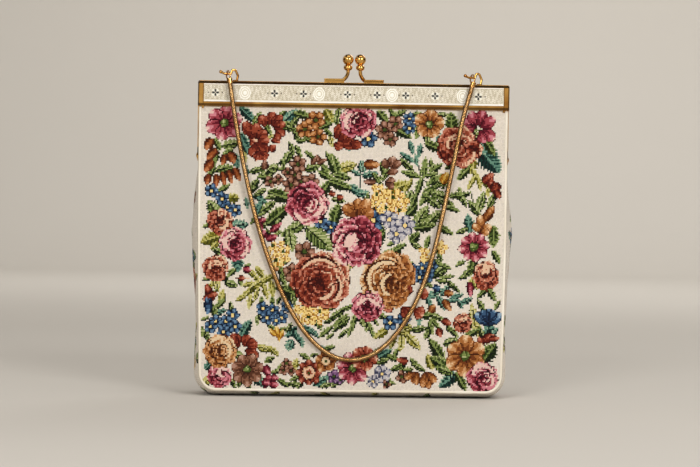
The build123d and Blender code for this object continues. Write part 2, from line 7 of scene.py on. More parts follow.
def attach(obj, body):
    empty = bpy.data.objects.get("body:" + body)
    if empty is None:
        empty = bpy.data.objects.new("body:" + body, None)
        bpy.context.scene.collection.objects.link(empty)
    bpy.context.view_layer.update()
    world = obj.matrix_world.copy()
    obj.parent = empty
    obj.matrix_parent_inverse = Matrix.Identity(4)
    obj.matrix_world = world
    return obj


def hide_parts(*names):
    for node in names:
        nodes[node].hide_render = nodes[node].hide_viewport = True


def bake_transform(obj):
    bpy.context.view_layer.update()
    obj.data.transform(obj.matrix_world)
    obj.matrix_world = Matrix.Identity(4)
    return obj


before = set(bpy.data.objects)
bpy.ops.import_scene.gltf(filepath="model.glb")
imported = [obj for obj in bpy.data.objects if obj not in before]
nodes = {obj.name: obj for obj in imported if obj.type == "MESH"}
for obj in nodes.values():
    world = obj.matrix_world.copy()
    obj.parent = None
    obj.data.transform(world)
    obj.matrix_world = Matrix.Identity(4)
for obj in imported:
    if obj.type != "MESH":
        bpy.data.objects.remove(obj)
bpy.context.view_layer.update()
mm = 0.001

# Sizes of the CAD part, in millimetres, repeated here because nothing else is read
part = {
    "pipingHeight": 4.4,
    "panelThickness": 1.6,
    "panelCorner": 10.0,
    "stitch": 0.826,
}
depthNodes = [(4.2, 184.0), (5.9, 175.0), (6.6, 150.0), (13.2, 105.0), (19.2, 55.0), (22.4, 0.0)]
sideNodes = [(96.4, 178.4), (95.9, 105.0), (93.3, 4.4)]


# Camera
view = {"azimuth": -1.6, "elevation": 0.3, "distance": 1.315, "lens": 107.0, "roll": 0.85,
        "target": (-1.1, 0.0, 102.1)}


def makeCamera():
    azimuth = radians(view["azimuth"])
    elevation = radians(view["elevation"])
    back = Vector((sin(azimuth) * cos(elevation), -cos(azimuth) * cos(elevation), sin(elevation)))
    camera = bpy.data.objects.new("camera", bpy.data.cameras.new("camera"))
    bpy.context.scene.collection.objects.link(camera)
    camera.data.lens = view["lens"]
    camera.data.sensor_width = 36.0
    camera.data.clip_end = 50.0
    camera.location = Vector(view["target"]) * mm + back * view["distance"]
    camera.rotation_mode = "QUATERNION"
    aim = (-back).to_track_quat("-Z", "Y")
    camera.rotation_quaternion = aim @ Quaternion((0, 0, 1), radians(view["roll"]))
    bpy.context.scene.camera = camera


makeCamera()
print("camera")


# Shader maths: a socket with operators

class Sock:
    def __init__(self, tree, socket):
        self.tree = tree
        self.socket = socket

    def act(self, operation, *values):
        return addNode(self.tree, "ShaderNodeMath", {"operation": operation}, dict(enumerate(values)))

    def __add__(self, other):
        return self.act("ADD", self, other)

    def __sub__(self, other):
        return self.act("SUBTRACT", self, other)

    def __rsub__(self, other):
        return self.act("SUBTRACT", other, self)

    def __mul__(self, other):
        return self.act("MULTIPLY", self, other)

    def __truediv__(self, other):
        return self.act("DIVIDE", self, other)

    def __pow__(self, other):
        return self.act("POWER", self, other)

    __radd__ = __add__
    __rmul__ = __mul__

    def between(self, low, high, first=0.0, second=1.0):
        ends = {"Value": self, "From Min": low, "From Max": high, "To Min": first, "To Max": second}
        return addNode(self.tree, "ShaderNodeMapRange", {}, ends)


def addNode(tree, kind, settings=None, values=None, output=0):
    # One node: its settings first, then a value or a link for each of its sockets.
    node = tree.nodes.new(kind)
    for name, value in (settings or {}).items():
        if name == "stops":
            stops = node.color_ramp.elements
            while len(stops) < len(value):
                stops.new(1.0)
            for stop, (position, colour) in zip(stops, value):
                stop.position = position
                stop.color = (*colour, 1.0)
        else:
            setattr(node, name, value)
    for name, value in (values or {}).items():
        if isinstance(value, Sock):
            tree.links.new(value.socket, node.inputs[name])
        else:
            node.inputs[name].default_value = value
    return Sock(tree, node.outputs[output])


def linear(colour):
    return tuple(c / 12.92 if c <= 0.04045 else ((c + 0.055) / 1.055) ** 2.4 for c in colour)


def linearArray(shades):
    return np.where(shades <= 0.04045, shades / 12.92, ((np.maximum(shades, 0.04045) + 0.055) / 1.055) ** 2.4)


class Paint:
    # One material, with its Principled shader and short calls for the nodes that it uses.
    def __init__(self, name):
        self.material = bpy.data.materials.new(name)
        self.material.use_nodes = True
        self.tree = self.material.node_tree
        self.shader = self.tree.nodes["Principled BSDF"]

    def put(self, name, value):
        if isinstance(value, Sock):
            self.tree.links.new(value.socket, self.shader.inputs[name])
        else:
            self.shader.inputs[name].default_value = value

    def node(self, kind, settings=None, values=None, output=0):
        return addNode(self.tree, kind, settings, values, output)

    def place(self, scale=(1, 1, 1), turn=(0, 0, 0)):
        here = self.node("ShaderNodeTexCoord", output="Object")
        return self.node("ShaderNodeMapping", {}, {"Vector": here, "Scale": scale, "Rotation": turn})

    def height(self):
        here = self.node("ShaderNodeTexCoord", output="Object")
        return self.node("ShaderNodeSeparateXYZ", {}, {0: here}, output=2)

    def noise(self, scale, detail=3.0, where=None):
        values = {"Vector": where or self.place(), "Scale": scale, "Detail": detail}
        return self.node("ShaderNodeTexNoise", {}, values)

    def wave(self, scale, where, distortion=0.0):
        values = {"Vector": where, "Scale": scale, "Distortion": distortion}
        return self.node("ShaderNodeTexWave", {"bands_direction": "X"}, values)

    def attribute(self, name, output="Color"):
        return self.node("ShaderNodeAttribute", {"attribute_name": name}, output=output)

    def mix(self, factor, first, second, blend="MIX"):
        values = {0: factor}
        for place, colour in ((6, first), (7, second)):
            values[place] = (*linear(colour), 1.0) if isinstance(colour, tuple) else colour
        return self.node("ShaderNodeMix", {"data_type": "RGBA", "blend_type": blend}, values, output=2)

    def bump(self, height, strength, distance):
        values = {"Height": height, "Strength": strength, "Distance": distance}
        return self.node("ShaderNodeBump", {}, values)


# Materials

# Heights and widths, in millimetres, between which the frame's bar is painted dark: painted reflections of a dark
# studio on its upper rim, lower lip and end caps
barDarkReflections = {"bar": (181.0, 181.2), "rim": (195.05, 195.25), "rimEnd": (196.8, 196.5), "lip": (182.9, 182.5),
            "side": (96.9, 97.4), "seam": (94.2, 94.4), "seamEnd": (95.1, 94.8), "seamTop": (195.0, 194.8)}


def brassPaint(name, bright, deep, roughness, scratch, paintedReflections=False):
    # Polished metal with cloudy tarnish and fine hair scratches; on the bar, painted dark reflections along its
    # upper and lower edge and near its ends.
    paint = Paint(name)
    cloud = paint.noise(55.0, 4.0).between(0.38, 0.66)
    hair = paint.noise(220.0, 2.0, paint.place((1.0, 14.0, 14.0)))
    colour = paint.mix(cloud, bright, deep)
    if paintedReflections:
        height = paint.height() * 1000.0
        place = paint.node("ShaderNodeTexCoord", output="Object")
        across = paint.node("ShaderNodeSeparateXYZ", {}, {0: place}, output=0) * 1000.0
        across = across.act("ABSOLUTE", across)
        bar = height.between(*barDarkReflections["bar"])
        rim = height.between(*barDarkReflections["rim"]) * height.between(*barDarkReflections["rimEnd"])
        lip = height.between(*barDarkReflections["lip"]) * bar
        side = across.between(*barDarkReflections["side"]) * bar
        seam = across.between(*barDarkReflections["seam"]) * across.between(*barDarkReflections["seamEnd"]) * bar
        seam = seam * height.between(*barDarkReflections["seamTop"])
        # Painted dark reflections: the rim, the lip, the end caps' edges and a line inside each end cap are darkened
        # in the base colour
        colour = paint.mix(rim * 0.93, colour, (0.13, 0.08, 0.04))
        colour = paint.mix(lip * 0.80, colour, (0.26, 0.15, 0.05))
        colour = paint.mix(side * 0.70, colour, (0.24, 0.14, 0.06))
        colour = paint.mix(seam * 0.45, colour, (0.30, 0.18, 0.08))
    paint.put("Base Color", colour)
    paint.put("Metallic", 1.0)
    paint.put("Roughness", cloud * 0.08 + hair * 0.05 + roughness)
    paint.put("Normal", paint.bump(hair + paint.noise(90.0, 2.0) * 0.6, scratch, 0.0001))
    paint.put("Coat Weight", 0.1)
    paint.put("Coat Roughness", 0.1)
    return paint.material


def wovenPaint(name, relief):
    # Needlework: each stitch lies from lower left to upper right over a canvas hole.
    paint = Paint(name)
    weave = paint.attribute("weave", "Vector")
    across = paint.node("ShaderNodeSeparateXYZ", {}, {0: weave}, output=0) - 0.5
    up = paint.node("ShaderNodeSeparateXYZ", {}, {0: weave}, output=1) - 0.5
    lean = (across + up) * 0.7071
    side = (across - up) * 0.7071
    swell = (lean / 0.80) ** 2.0 + (side / 0.42) ** 2.0
    height = swell.act("MAXIMUM", 1.0 - swell, 0.0) ** 0.5
    fuzz = paint.noise(2600.0, 3.0)
    # Painted shade between the stitches: the colour darkens where the stitch relief is low, with random fuzz in tone
    shade = height.between(0.0, 0.75, 0.72, 1.05) + (fuzz - 0.5) * 0.24
    # Painted shade along the foot, where it stands: a painted contact shadow, darker towards the bottom
    shade = shade * (paint.height() * 1000.0).between(0.6, 3.4, 0.30, 1.0)
    tone = paint.node("ShaderNodeVectorMath", {"operation": "SCALE"}, {0: paint.attribute("thread"), "Scale": shade})
    paint.put("Base Color", tone)
    paint.put("Roughness", fuzz.between(0.3, 0.7, 0.82, 0.98))
    paint.put("Specular IOR Level", 0.12)
    paint.put("Sheen Weight", 0.07)
    paint.put("Sheen Roughness", 0.5)
    paint.put("Normal", paint.bump(height + paint.noise(5200.0, 2.0) * 0.18, relief, 0.00045))
    return paint.material


def satinPaint(name, pale, shade, threads, seamed=False):
    # Satin: close fine threads with a soft sheen and slight water marks.
    paint = Paint(name)
    floats = paint.wave(threads, paint.place((1, 1, 1), (0, radians(35), 0)), 0.6)
    cloud = paint.noise(26.0, 4.0)
    fleck = paint.noise(1500.0, 2.0)
    colour = paint.mix(cloud.between(0.35, 0.7), pale, shade)
    colour = paint.mix(floats * 0.22, colour, shade)
    # The piping's painted highlight and painted shade, read from its colour attribute, multiply the colour
    if seamed:
        colour = paint.mix(1.0, colour, paint.attribute("thread"), "MULTIPLY")
    paint.put("Base Color", colour)
    paint.put("Roughness", cloud * 0.2 + fleck * 0.15 + 0.3)
    paint.put("Sheen Weight", 0.3)
    paint.put("Sheen Roughness", 0.35)
    paint.put("Specular IOR Level", 0.45)
    paint.put("Normal", paint.bump(floats + fleck * 0.7, 0.25, 0.0002))
    return paint.material


def enamelPaint(name):
    # Ivory enamel: the engraved lines hold a warm brown, and the pierced petals are painted near-black, as painted
    # shade inside the holes.
    paint = Paint(name)
    cloud = paint.noise(60.0, 4.0)
    fleck = paint.noise(1800.0, 2.0)
    tint = paint.attribute("thread")
    paint.put("Base Color", paint.mix(cloud.between(0.35, 0.7) * 0.25, tint, (0.88, 0.84, 0.74), "MULTIPLY"))
    paint.put("Roughness", fleck * 0.22 + 0.26)
    paint.put("Coat Weight", 0.25)
    paint.put("Coat Roughness", 0.2)
    paint.put("Normal", paint.bump(fleck + cloud, 0.12, 0.0002))
    return paint.material


def chainPaint(name):
    # Gilt plate, multiplied by its painted light and shade: pale along the crests, dark bronze as painted shade in
    # the grooves and down the sides.
    paint = Paint(name)
    cloud = paint.noise(160.0, 3.0)
    gilt = paint.mix(cloud.between(0.35, 0.65), (0.87, 0.70, 0.47), (0.73, 0.53, 0.31))
    paint.put("Base Color", paint.mix(1.0, gilt, paint.attribute("thread"), "MULTIPLY"))
    paint.put("Metallic", 1.0)
    paint.put("Roughness", cloud * 0.12 + 0.16)
    paint.put("Coat Weight", 0.15)
    paint.put("Normal", paint.bump(cloud, 0.05, 0.0001))
    return paint.material


brass = brassPaint("polishedBrass", (0.91, 0.72, 0.40), (0.66, 0.44, 0.18), 0.06, 0.05, paintedReflections=True)
chainBrass = brassPaint("chainBrass", (0.90, 0.70, 0.42), (0.66, 0.46, 0.24), 0.12, 0.03)
chainGilt = chainPaint("chainGilt")
needlework = wovenPaint("needlework", 0.85)
pipingSatin = satinPaint("pipingSatin", (0.94, 0.915, 0.86), (0.88, 0.84, 0.76), 900.0, seamed=True)
liningSatin = satinPaint("liningSatin", (0.90, 0.86, 0.78), (0.80, 0.74, 0.64), 1400.0)
enamel = enamelPaint("ivoryEnamel")
for name, node in nodes.items():
    if node.type == "MESH":
        gilt = chainBrass if "chain_loop" in name else brass
        for slot in node.material_slots:
            slot.material = gilt
        if not node.material_slots:
            node.data.materials.append(gilt)
print("materials")


# Mesh helpers

def makeMesh(name, points, faces, material):
    mesh = bpy.data.meshes.new(name)
    faces = [tuple(int(i) for i in face) for face in faces]
    mesh.from_pydata([tuple(p) for p in np.asarray(points) * mm], [], faces)
    mesh.update()
    piece = bpy.data.objects.new(name, mesh)
    bpy.context.scene.collection.objects.link(piece)
    mesh.materials.append(material)
    mesh.polygons.foreach_set("use_smooth", np.ones(len(mesh.polygons), bool))
    return piece


def gridQuads(rows, columns):
    # The numbers of a grid's points, and its quads.
    number = np.arange(rows * columns).reshape(rows, columns)
    quads = np.stack([number[:-1, :-1], number[:-1, 1:], number[1:, 1:], number[1:, :-1]], -1)
    return number, quads.reshape(-1, 4)


def putTintAndShade(piece, domain, shades):
    # A colour for each point or corner, which the material reads: the tint of thread or enamel, and the painted
    # light and shade of the chain, the piping and the band's holes.
    colour = np.ones((len(shades), 4), np.float32)
    colour[:, :3] = shades
    layer = piece.data.color_attributes.new("thread", "FLOAT_COLOR", domain)
    layer.data.foreach_set("color", colour.ravel())


def putWeave(piece, corners):
    # The place within its stitch of each corner, the same in every quad.
    spread = np.tile(np.array(corners, np.float32), (len(piece.data.polygons), 1))
    piece.data.attributes.new("weave", "FLOAT_VECTOR", "CORNER").data.foreach_set("vector", spread.ravel())


def smoothLine(nodeList):
    # A line of (value, height) pairs, with each bend eased over the shorter of its runs.
    spots = [np.array(pair, float) for pair in nodeList]
    line = [spots[0]]
    for before, here, after in zip(spots, spots[1:], spots[2:]):
        reach = 0.45 * min(np.linalg.norm(here - before), np.linalg.norm(after - here))
        start = here + (before - here) / np.linalg.norm(before - here) * reach
        end = here + (after - here) / np.linalg.norm(after - here) * reach
        for t in np.linspace(0, 1, 24):
            line.append((1 - t) ** 2 * start + 2 * t * (1 - t) * here + t * t * end)
    line.append(spots[-1])
    line = np.array(line)[::-1]
    return lambda height: np.interp(height, line[:, 1], line[:, 0])


depthAt = smoothLine(depthNodes)
sideAt = smoothLine(sideNodes)


def framesAlong(points):
    # A direction and two steady normals at each point of a line.
    points = np.asarray(points, float)
    ahead = np.gradient(points, axis=0)
    ahead /= np.linalg.norm(ahead, axis=1)[:, None]
    normal = np.cross(ahead[0], (0.0, 1.0, 0.0))
    normal /= np.linalg.norm(normal)
    normals = []
    for direction in ahead:
        normal = normal - direction * np.dot(normal, direction)
        normal = normal / np.linalg.norm(normal)
        normals.append(normal)
    normals = np.array(normals)
    return points, ahead, normals, np.cross(ahead, normals)


def tubeRings(points, radii, sides):
    points, ahead, first, second = framesAlong(points)
    turns = np.arange(sides) * 2 * pi / sides
    rings = (points[:, None] + first[:, None] * (np.cos(turns)[None, :, None] * radii[:, None, None])
             + second[:, None] * (np.sin(turns)[None, :, None] * radii[:, None, None]))
    return rings


def ringFaces(count, sides):
    faces = []
    for low in range(0, (count - 1) * sides, sides):
        high = low + sides
        for k in range(sides):
            m = (k + 1) % sides
            faces.append((low + k, low + m, high + m, high + k))
    return faces


def tube(name, points, radii, sides, material):
    rings = tubeRings(points, np.broadcast_to(radii, len(points)).astype(float), sides)
    count = len(rings)
    faces = ringFaces(count, sides)
    faces.append(tuple(range(sides))[::-1])
    faces.append(tuple(range((count - 1) * sides, count * sides)))
    return makeMesh(name, rings.reshape(-1, 3), faces, material)


# Snake chain
# Each profile row: where along the rib, how deep it dips, and its tone; the tone is painted shade, dark in the
# grooves and pale on the crests
chain = {"radius": 1.55, "front": 9.2, "rake": 4.9, "endHeight": 195.2, "pitch": 0.92, "dip": 0.20, "sides": 14,
         "profile": ((0.0, 1.0, 0.22), (0.2, 0.2, 0.75), (0.42, 0.0, 1.0), (0.68, 0.0, 0.95), (0.88, 0.3, 0.6))}


def chainRoute():
    route = [
        (-77.9, 195.2), (-75.7, 180.5), (-70.0, 150.0), (-62.2, 116.5), (-52.8, 86.5), (-41.5, 59.5),
        (-27.5, 37.5), (-11.0, 24.4), (5.5, 23.2), (20.0, 31.0), (32.0, 44.8), (42.0, 63.5),
        (50.2, 87.5), (56.2, 114.0), (61.8, 141.5), (67.4, 171.0), (70.8, 184.5), (74.0, 195.2),
    ]
    rake = tan(radians(chain["rake"]))
    return [(x * mm, (-chain["front"] - (chain["endHeight"] - z) * rake) * mm, z * mm) for x, z in route]


def makeChain():
    route = chainRoute()
    curve = bpy.data.curves.new("chainLine", "CURVE")
    curve.dimensions = "3D"
    curve.resolution_u = 24
    spline = curve.splines.new("NURBS")
    spline.points.add(len(route) - 1)
    for point, place in zip(spline.points, route):
        point.co = (*place, 1.0)
    spline.order_u = 3
    spline.use_endpoint_u = True
    line = bpy.data.objects.new("chainLine", curve)
    bpy.context.scene.collection.objects.link(line)
    graph = bpy.context.evaluated_depsgraph_get()
    read = bpy.data.meshes.new_from_object(line.evaluated_get(graph))
    path = np.array([v.co[:] for v in read.vertices])
    bpy.data.objects.remove(line)
    run = np.concatenate([[0], np.cumsum(np.linalg.norm(np.diff(path, axis=0), axis=1))])
    length = run[-1]
    ribs = int(length / (chain["pitch"] * mm))
    at, radii, ribTone = [], [], []
    for rib in range(ribs):
        for share, depth, shade in chain["profile"]:
            at.append((rib + share) / ribs * length)
            radii.append(chain["radius"] - chain["dip"] * depth)
            ribTone.append(shade)
    points = np.stack([np.interp(at, run, path[:, k]) for k in range(3)], 1) / mm
    piece = tube("snakeChain", points, np.array(radii), chain["sides"], chainGilt)
    places = np.array([v.co[:] for v in piece.data.vertices]) / mm
    off = places - np.repeat(points, chain["sides"], axis=0)[:len(places)]
    # Painted light and shade: a painted highlight where the chain faces front, painted shade down its sides, times
    # each ring's tone
    turned = np.clip(-off[:, 1] / chain["radius"], -1, 1)
    tone = np.where(turned > 0.9, 1.0, 0.30 + 0.35 * np.abs(turned))
    tone = np.repeat(ribTone, chain["sides"])[:len(places)] * tone
    putTintAndShade(piece, "POINT", tone[:, None])
    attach(piece, "chain")
    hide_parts("snake_chain")
    print("chain", round(length, 4), "ribs", ribs)


makeChain()


# Needlework chart: threads by kind, five shades from dark to light

threads = {
    "ground": [(0.85, 0.81, 0.74), (0.88, 0.84, 0.79), (0.91, 0.87, 0.81), (0.93, 0.89, 0.84),
              (0.94, 0.92, 0.86)],
    "wine": [(0.19, 0.01, 0.06), (0.39, 0.08, 0.14), (0.64, 0.26, 0.30), (0.84, 0.52, 0.56),
              (0.93, 0.79, 0.74)],
    "rust": [(0.22, 0.05, 0.03), (0.39, 0.12, 0.07), (0.59, 0.26, 0.17), (0.77, 0.47, 0.37),
              (0.91, 0.76, 0.63)],
    "russet": [(0.24, 0.09, 0.03), (0.43, 0.18, 0.07), (0.61, 0.32, 0.15), (0.77, 0.49, 0.31),
              (0.87, 0.69, 0.52)],
    "amber": [(0.26, 0.11, 0.03), (0.45, 0.23, 0.09), (0.66, 0.41, 0.20), (0.83, 0.62, 0.42),
              (0.92, 0.81, 0.65)],
    "mauve": [(0.19, 0.09, 0.06), (0.35, 0.20, 0.13), (0.54, 0.36, 0.27), (0.71, 0.54, 0.46),
              (0.83, 0.71, 0.61)],
    "blue": [(0.04, 0.07, 0.13), (0.09, 0.16, 0.27), (0.22, 0.34, 0.47), (0.42, 0.55, 0.67),
              (0.62, 0.71, 0.78)],
    "lilac": [(0.23, 0.24, 0.34), (0.39, 0.40, 0.49), (0.60, 0.59, 0.64), (0.77, 0.75, 0.76),
              (0.87, 0.84, 0.81)],
    "violet": [(0.17, 0.08, 0.22), (0.33, 0.20, 0.37), (0.53, 0.38, 0.54), (0.72, 0.58, 0.70),
              (0.84, 0.74, 0.79)],
    "gold": [(0.49, 0.27, 0.05), (0.68, 0.46, 0.12), (0.86, 0.69, 0.29), (0.96, 0.85, 0.55),
              (0.97, 0.91, 0.74)],
    "green": [(0.05, 0.08, 0.02), (0.12, 0.17, 0.05), (0.26, 0.33, 0.12), (0.50, 0.56, 0.30),
              (0.74, 0.76, 0.54)],
    "teal": [(0.03, 0.09, 0.09), (0.07, 0.20, 0.17), (0.20, 0.36, 0.32), (0.41, 0.57, 0.49),
              (0.63, 0.73, 0.62)],
    "lime": [(0.22, 0.22, 0.03), (0.38, 0.37, 0.08), (0.59, 0.56, 0.20), (0.77, 0.74, 0.43),
              (0.87, 0.84, 0.63)],
}
chartSize = (230, 218)


class Chart:
    # A piece of needlework, as a shade of thread for each stitch.
    def __init__(self, across, up, seed):
        self.across, self.up = across, up
        self.random = np.random.default_rng(seed)
        self.colour = np.zeros((up, across, 3))
        self.columns, self.rows = np.meshgrid(np.arange(across) + 0.5, np.arange(up) + 0.5)
        shades = 2.1 + self.random.normal(0, 0.55, (up, across))
        self.lay(np.ones((up, across), bool), shades, "ground", slice(0, up), slice(0, across))
        self.motif = np.zeros((up, across), bool)

    def lay(self, where, shades, kind, rows, columns):
        table = np.array(threads[kind])
        steps = np.clip(np.rint(shades), 0, 4).astype(int)
        window = self.colour[rows, columns]
        window[where] = table[steps][where]
        if kind != "ground":
            self.motif[rows, columns][where] = True

    def window(self, x, y, reach):
        rows = slice(max(0, int(y - reach)), min(self.up, int(ceil(y + reach)) + 1))
        columns = slice(max(0, int(x - reach)), min(self.across, int(ceil(x + reach)) + 1))
        return rows, columns, self.columns[rows, columns] - x, self.rows[rows, columns] - y

    def rough(self, shape, amount=0.33):
        return self.random.normal(0, amount, shape)

    def disc(self, x, y, r, kind, shade, wobble=0.0):
        rows, columns, dx, dy = self.window(x, y, r + 2)
        if dx.size:
            reach = np.hypot(dx, dy) / r
            where = reach <= 1 + self.rough(dx.shape, wobble)
            self.lay(where, shade + self.rough(dx.shape, 0.2), kind, rows, columns)

    def leaf(self, x, y, half, turn, slim=0.40, kind="green"):
        # In one of two moods, with slanting veins, a rib and a toothed edge.
        rows, columns, dx, dy = self.window(x, y, half + 2)
        if not dx.size:
            return
        turn = radians(turn)
        forward = (dx * cos(turn) + dy * sin(turn)) / half
        side = (-dx * sin(turn) + dy * cos(turn)) / half
        swell = np.clip(1 - np.abs(forward + 0.12) ** 1.9 * np.where(forward > -0.12, 0.80, 1.15), 0, 1) ** 0.8
        slant = forward * half - np.abs(side) * half * 0.9
        width = slim * swell * (1.06 + 0.18 * np.sin(slant * 1.9)) + 0.08 / half
        vein = np.where(np.sin(slant * 1.9 + 1.2) > 0.25, 1.0, -0.4)
        facing = side * cos(turn) + 0.10 * slim > 0
        rib = (np.abs(side) * half < (0.6 if half > 6 else 0.45)) & (forward < 0.6)
        edge = np.abs(side) > width - 1.0 / half
        if self.random.random() < 0.62:
            # Dark, with a pale rib and pale tips on the lit half
            shades = np.where(facing, 1.5 + 0.9 * vein + 0.8 * forward, 0.3 + 0.55 * vein)
            shades = np.where(rib, 2.9, shades)
            shades = np.where(edge, np.where(facing, 3.3 + 0.6 * vein, 0.7), shades)
        else:
            # Pale, with a dark rib and veins
            shades = np.where(facing, 3.2 + 0.8 * vein, 1.9 + 0.9 * vein)
            shades = np.where(rib, 0.4, shades)
            shades = np.where(edge, np.where(facing, 2.6, 0.1), shades)
        where = (np.abs(side) <= width) & (np.abs(forward) <= 1)
        self.lay(where, shades + self.rough(dx.shape, 0.22), kind, rows, columns)

    def petal(self, x, y, length, width, turn, kind, dark=0.6, light=3.2, streak=0.0):
        # From its foot at (x, y) to a round tip: dark at the foot, streaked along, and edged dark.
        rows, columns, dx, dy = self.window(x, y, length + 2)
        if not dx.size:
            return
        turn = radians(turn)
        forward = (dx * cos(turn) + dy * sin(turn)) / length
        side = (-dx * sin(turn) + dy * cos(turn)) / width
        inside = np.clip(forward, 0.0, 1.0)
        end = np.clip((inside - 0.55) / 0.45, 0, 1)
        swell = np.clip(inside * 2.1, 0, 1) ** 0.7 * np.sqrt(np.clip(1 - end ** 2, 0, 1))
        shades = dark + (light - dark) * inside ** 1.1
        bearing = np.arctan2(side * width, forward * length + 1)
        shades = shades + streak * 1.3 * np.cos(bearing * 13) * (0.4 + inside)
        shades = np.where(np.abs(side) > swell - 0.8 / width, np.minimum(shades - 1.3, 1.2), shades)
        where = (np.abs(side) <= swell) & (forward > 0.02) & (forward < 1.0)
        self.lay(where, shades + self.rough(dx.shape, 0.2), kind, rows, columns)

    def star(self, x, y, r, petals, turn, kind, heart=2.4, heartKind="green", light=3.3):
        # An open flower, seen from in front.
        for k in range(petals):
            angle = turn + 360 * k / petals
            reach = r * (0.90 + 0.12 * self.random.random())
            self.petal(x, y, reach, r * (0.09 + 1.9 / petals), angle, kind, 0.1, light, 0.45)
        self.disc(x, y, heart + 0.7, kind, 0.2, 0.08)
        self.disc(x, y, heart, heartKind, 2.4 if heartKind == "green" else 3.0, 0.10)
        self.disc(x - 0.5, y + 0.6, heart * 0.45, heartKind, 3.4, 0.05)

    def small(self, x, y, r, petals, turn, kind, heart="gold", light=2.9):
        # A small flower with round petals and dark between them.
        self.disc(x, y, r * 0.78, kind, 0.1, 0.05)
        for k in range(petals):
            angle = radians(turn + 360 * k / petals)
            px, py = x + 0.58 * r * cos(angle), y + 0.58 * r * sin(angle)
            self.disc(px, py, r * 0.43, kind, 0.35, 0.08)
            self.disc(px + 0.06 * r * cos(angle), py + 0.06 * r * sin(angle), r * 0.31, kind, light - 0.8, 0.12)
            self.disc(px + 0.14 * r * cos(angle), py + 0.14 * r * sin(angle), r * 0.17, kind, light + 0.1, 0.15)
        self.disc(x, y, max(0.75, r * 0.20), heart, 3.0 if heart == "gold" else 1.6, 0.0)

    def rose(self, x, y, r, kind, turn=0.0, tall=1.0, lightTurn=60.0, rings=None):
        # Broad outer petals with pale wavy rims, then an open bowl of inner petals round a dark heart.
        rings = rings or ((0.60, 0.44, 5), (0.34, 0.46, 3), (0.20, 0.32, 3), (0.08, 0.20, 2))
        for level, (away, size, count) in enumerate(rings):
            for k in range(count):
                angle = radians(turn + 47 * level + 360 * k / count + self.random.normal(0, 9))
                reachOf = size * r * (0.86 + 0.26 * self.random.random())
                px = x + away * r * cos(angle)
                py = y + away * r * sin(angle) * tall
                rows, columns, dx, dy = self.window(px, py, reachOf * 1.4 + 1)
                if not dx.size:
                    continue
                outward = (dx * cos(angle) + dy * sin(angle)) / reachOf
                across = (-dx * sin(angle) + dy * cos(angle)) / (reachOf * 1.22)
                bearing = np.arctan2(across, outward)
                ruffle = 1 + 0.08 * np.sin(bearing * 5 + level + k)
                reach = np.hypot(outward, across) / ruffle
                lit = 0.55 * cos(angle - radians(lightTurn))
                streak = 0.55 * np.cos(np.arctan2(across, outward + 1.1) * 15)
                shades = 1.25 + 1.0 * outward + lit + streak - 0.35 * (level > 1)
                rim = (reach > 1 - (1.7 if level < 2 else 1.2) / reachOf) & (outward > -0.1)
                shades = np.where(rim, 3.0 + 1.3 * lit + 0.4 * streak, shades)
                shades = np.where((outward < -0.35) & (level > 0), 0.1, shades)
                shadow = (reach <= 1 + 0.75 / reachOf) & (outward < 0.75)
                self.lay(shadow, 0.5 + self.rough(dx.shape, 0.4), kind, rows, columns)
                self.lay(reach <= 1, shades + self.rough(dx.shape, 0.28), kind, rows, columns)

    def arc(self, x, y, r, start, end, wide, kind, shade):
        # A curved stroke, thinner towards its ends.
        rows, columns, dx, dy = self.window(x, y, r + wide + 2)
        if not dx.size:
            return
        angle = np.degrees(np.arctan2(dy, dx))
        share = ((angle - start) % 360) / ((end - start) % 360 or 360)
        body = np.sqrt(np.clip(1 - (2 * share - 1) ** 2, 0, 1))
        thick = wide * body * (0.5 + 0.16 * np.sin(angle * r / 22)) + 0.1
        where = (share <= 1) & (np.abs(np.hypot(dx, dy) - r) <= thick)
        self.lay(where, shade + self.rough(dx.shape, 0.25), kind, rows, columns)

    def stroke(self, spots, wide, kind, shade):
        # A stem through the given spots.
        for (x1, y1), (x2, y2) in zip(spots, spots[1:]):
            steps = max(2, int(np.hypot(x2 - x1, y2 - y1) * 2))
            for t in np.linspace(0, 1, steps):
                self.disc(x1 + (x2 - x1) * t, y1 + (y2 - y1) * t, wide, kind, shade, 0.0)

    def bud(self, x, y, half, turn, kind, slim=0.55):
        # A closed bud: dark at its foot, a pale streak, and a dark line each side.
        rows, columns, dx, dy = self.window(x, y, half + 2)
        if not dx.size:
            return
        turn = radians(turn)
        forward = (dx * cos(turn) + dy * sin(turn)) / half
        side = (-dx * sin(turn) + dy * cos(turn)) / (half * slim)
        swell = np.sqrt(np.clip(1 - forward ** 2, 0, 1)) * (1.08 - 0.35 * forward)
        shades = 1.3 + 1.1 * forward + 0.9 * np.cos(side * 4.2)
        shades = np.where(side > 0.1, np.minimum(shades + 0.5, 3.0), shades)
        shades = np.where(np.abs(side) > swell * 0.78, 0.3, shades)
        self.lay(np.abs(side) <= swell, shades + self.rough(dx.shape, 0.25), kind, rows, columns)

    def cluster(self, x, y, wide, tall):
        # Many little gold florets, packed close.
        size = 2.7
        rows = int(2 * tall / (size * 1.5)) + 1
        for row in range(rows):
            fy = -tall + (row + 0.5) * 2 * tall / rows
            span = wide * sqrt(max(0.0, 1 - (fy / tall) ** 2))
            count = max(1, int(2 * span / (size * 1.5)))
            for k in range(count):
                fx = -span + (k + 0.5 + 0.25 * (row % 2)) * 2 * span / count
                px = x + fx + self.random.normal(0, 0.35)
                py = y + fy + self.random.normal(0, 0.35)
                self.disc(px, py, size * 0.85, "gold", 1.0, 0.12)
                for quarter in range(4):
                    turn = radians(45 + 90 * quarter + 20 * row)
                    sx, sy = px + 0.45 * size * cos(turn), py + 0.45 * size * sin(turn)
                    self.disc(sx, sy, size * 0.33, "gold", 3.1, 0.1)
                self.disc(px, py, 0.6, "gold", 0.8 + 2.5 * self.random.random(), 0.0)


def rowsOf(text):
    return [tuple(float(v) for v in row.split()) for row in text.replace("\n", ",").split(",") if row.strip()]


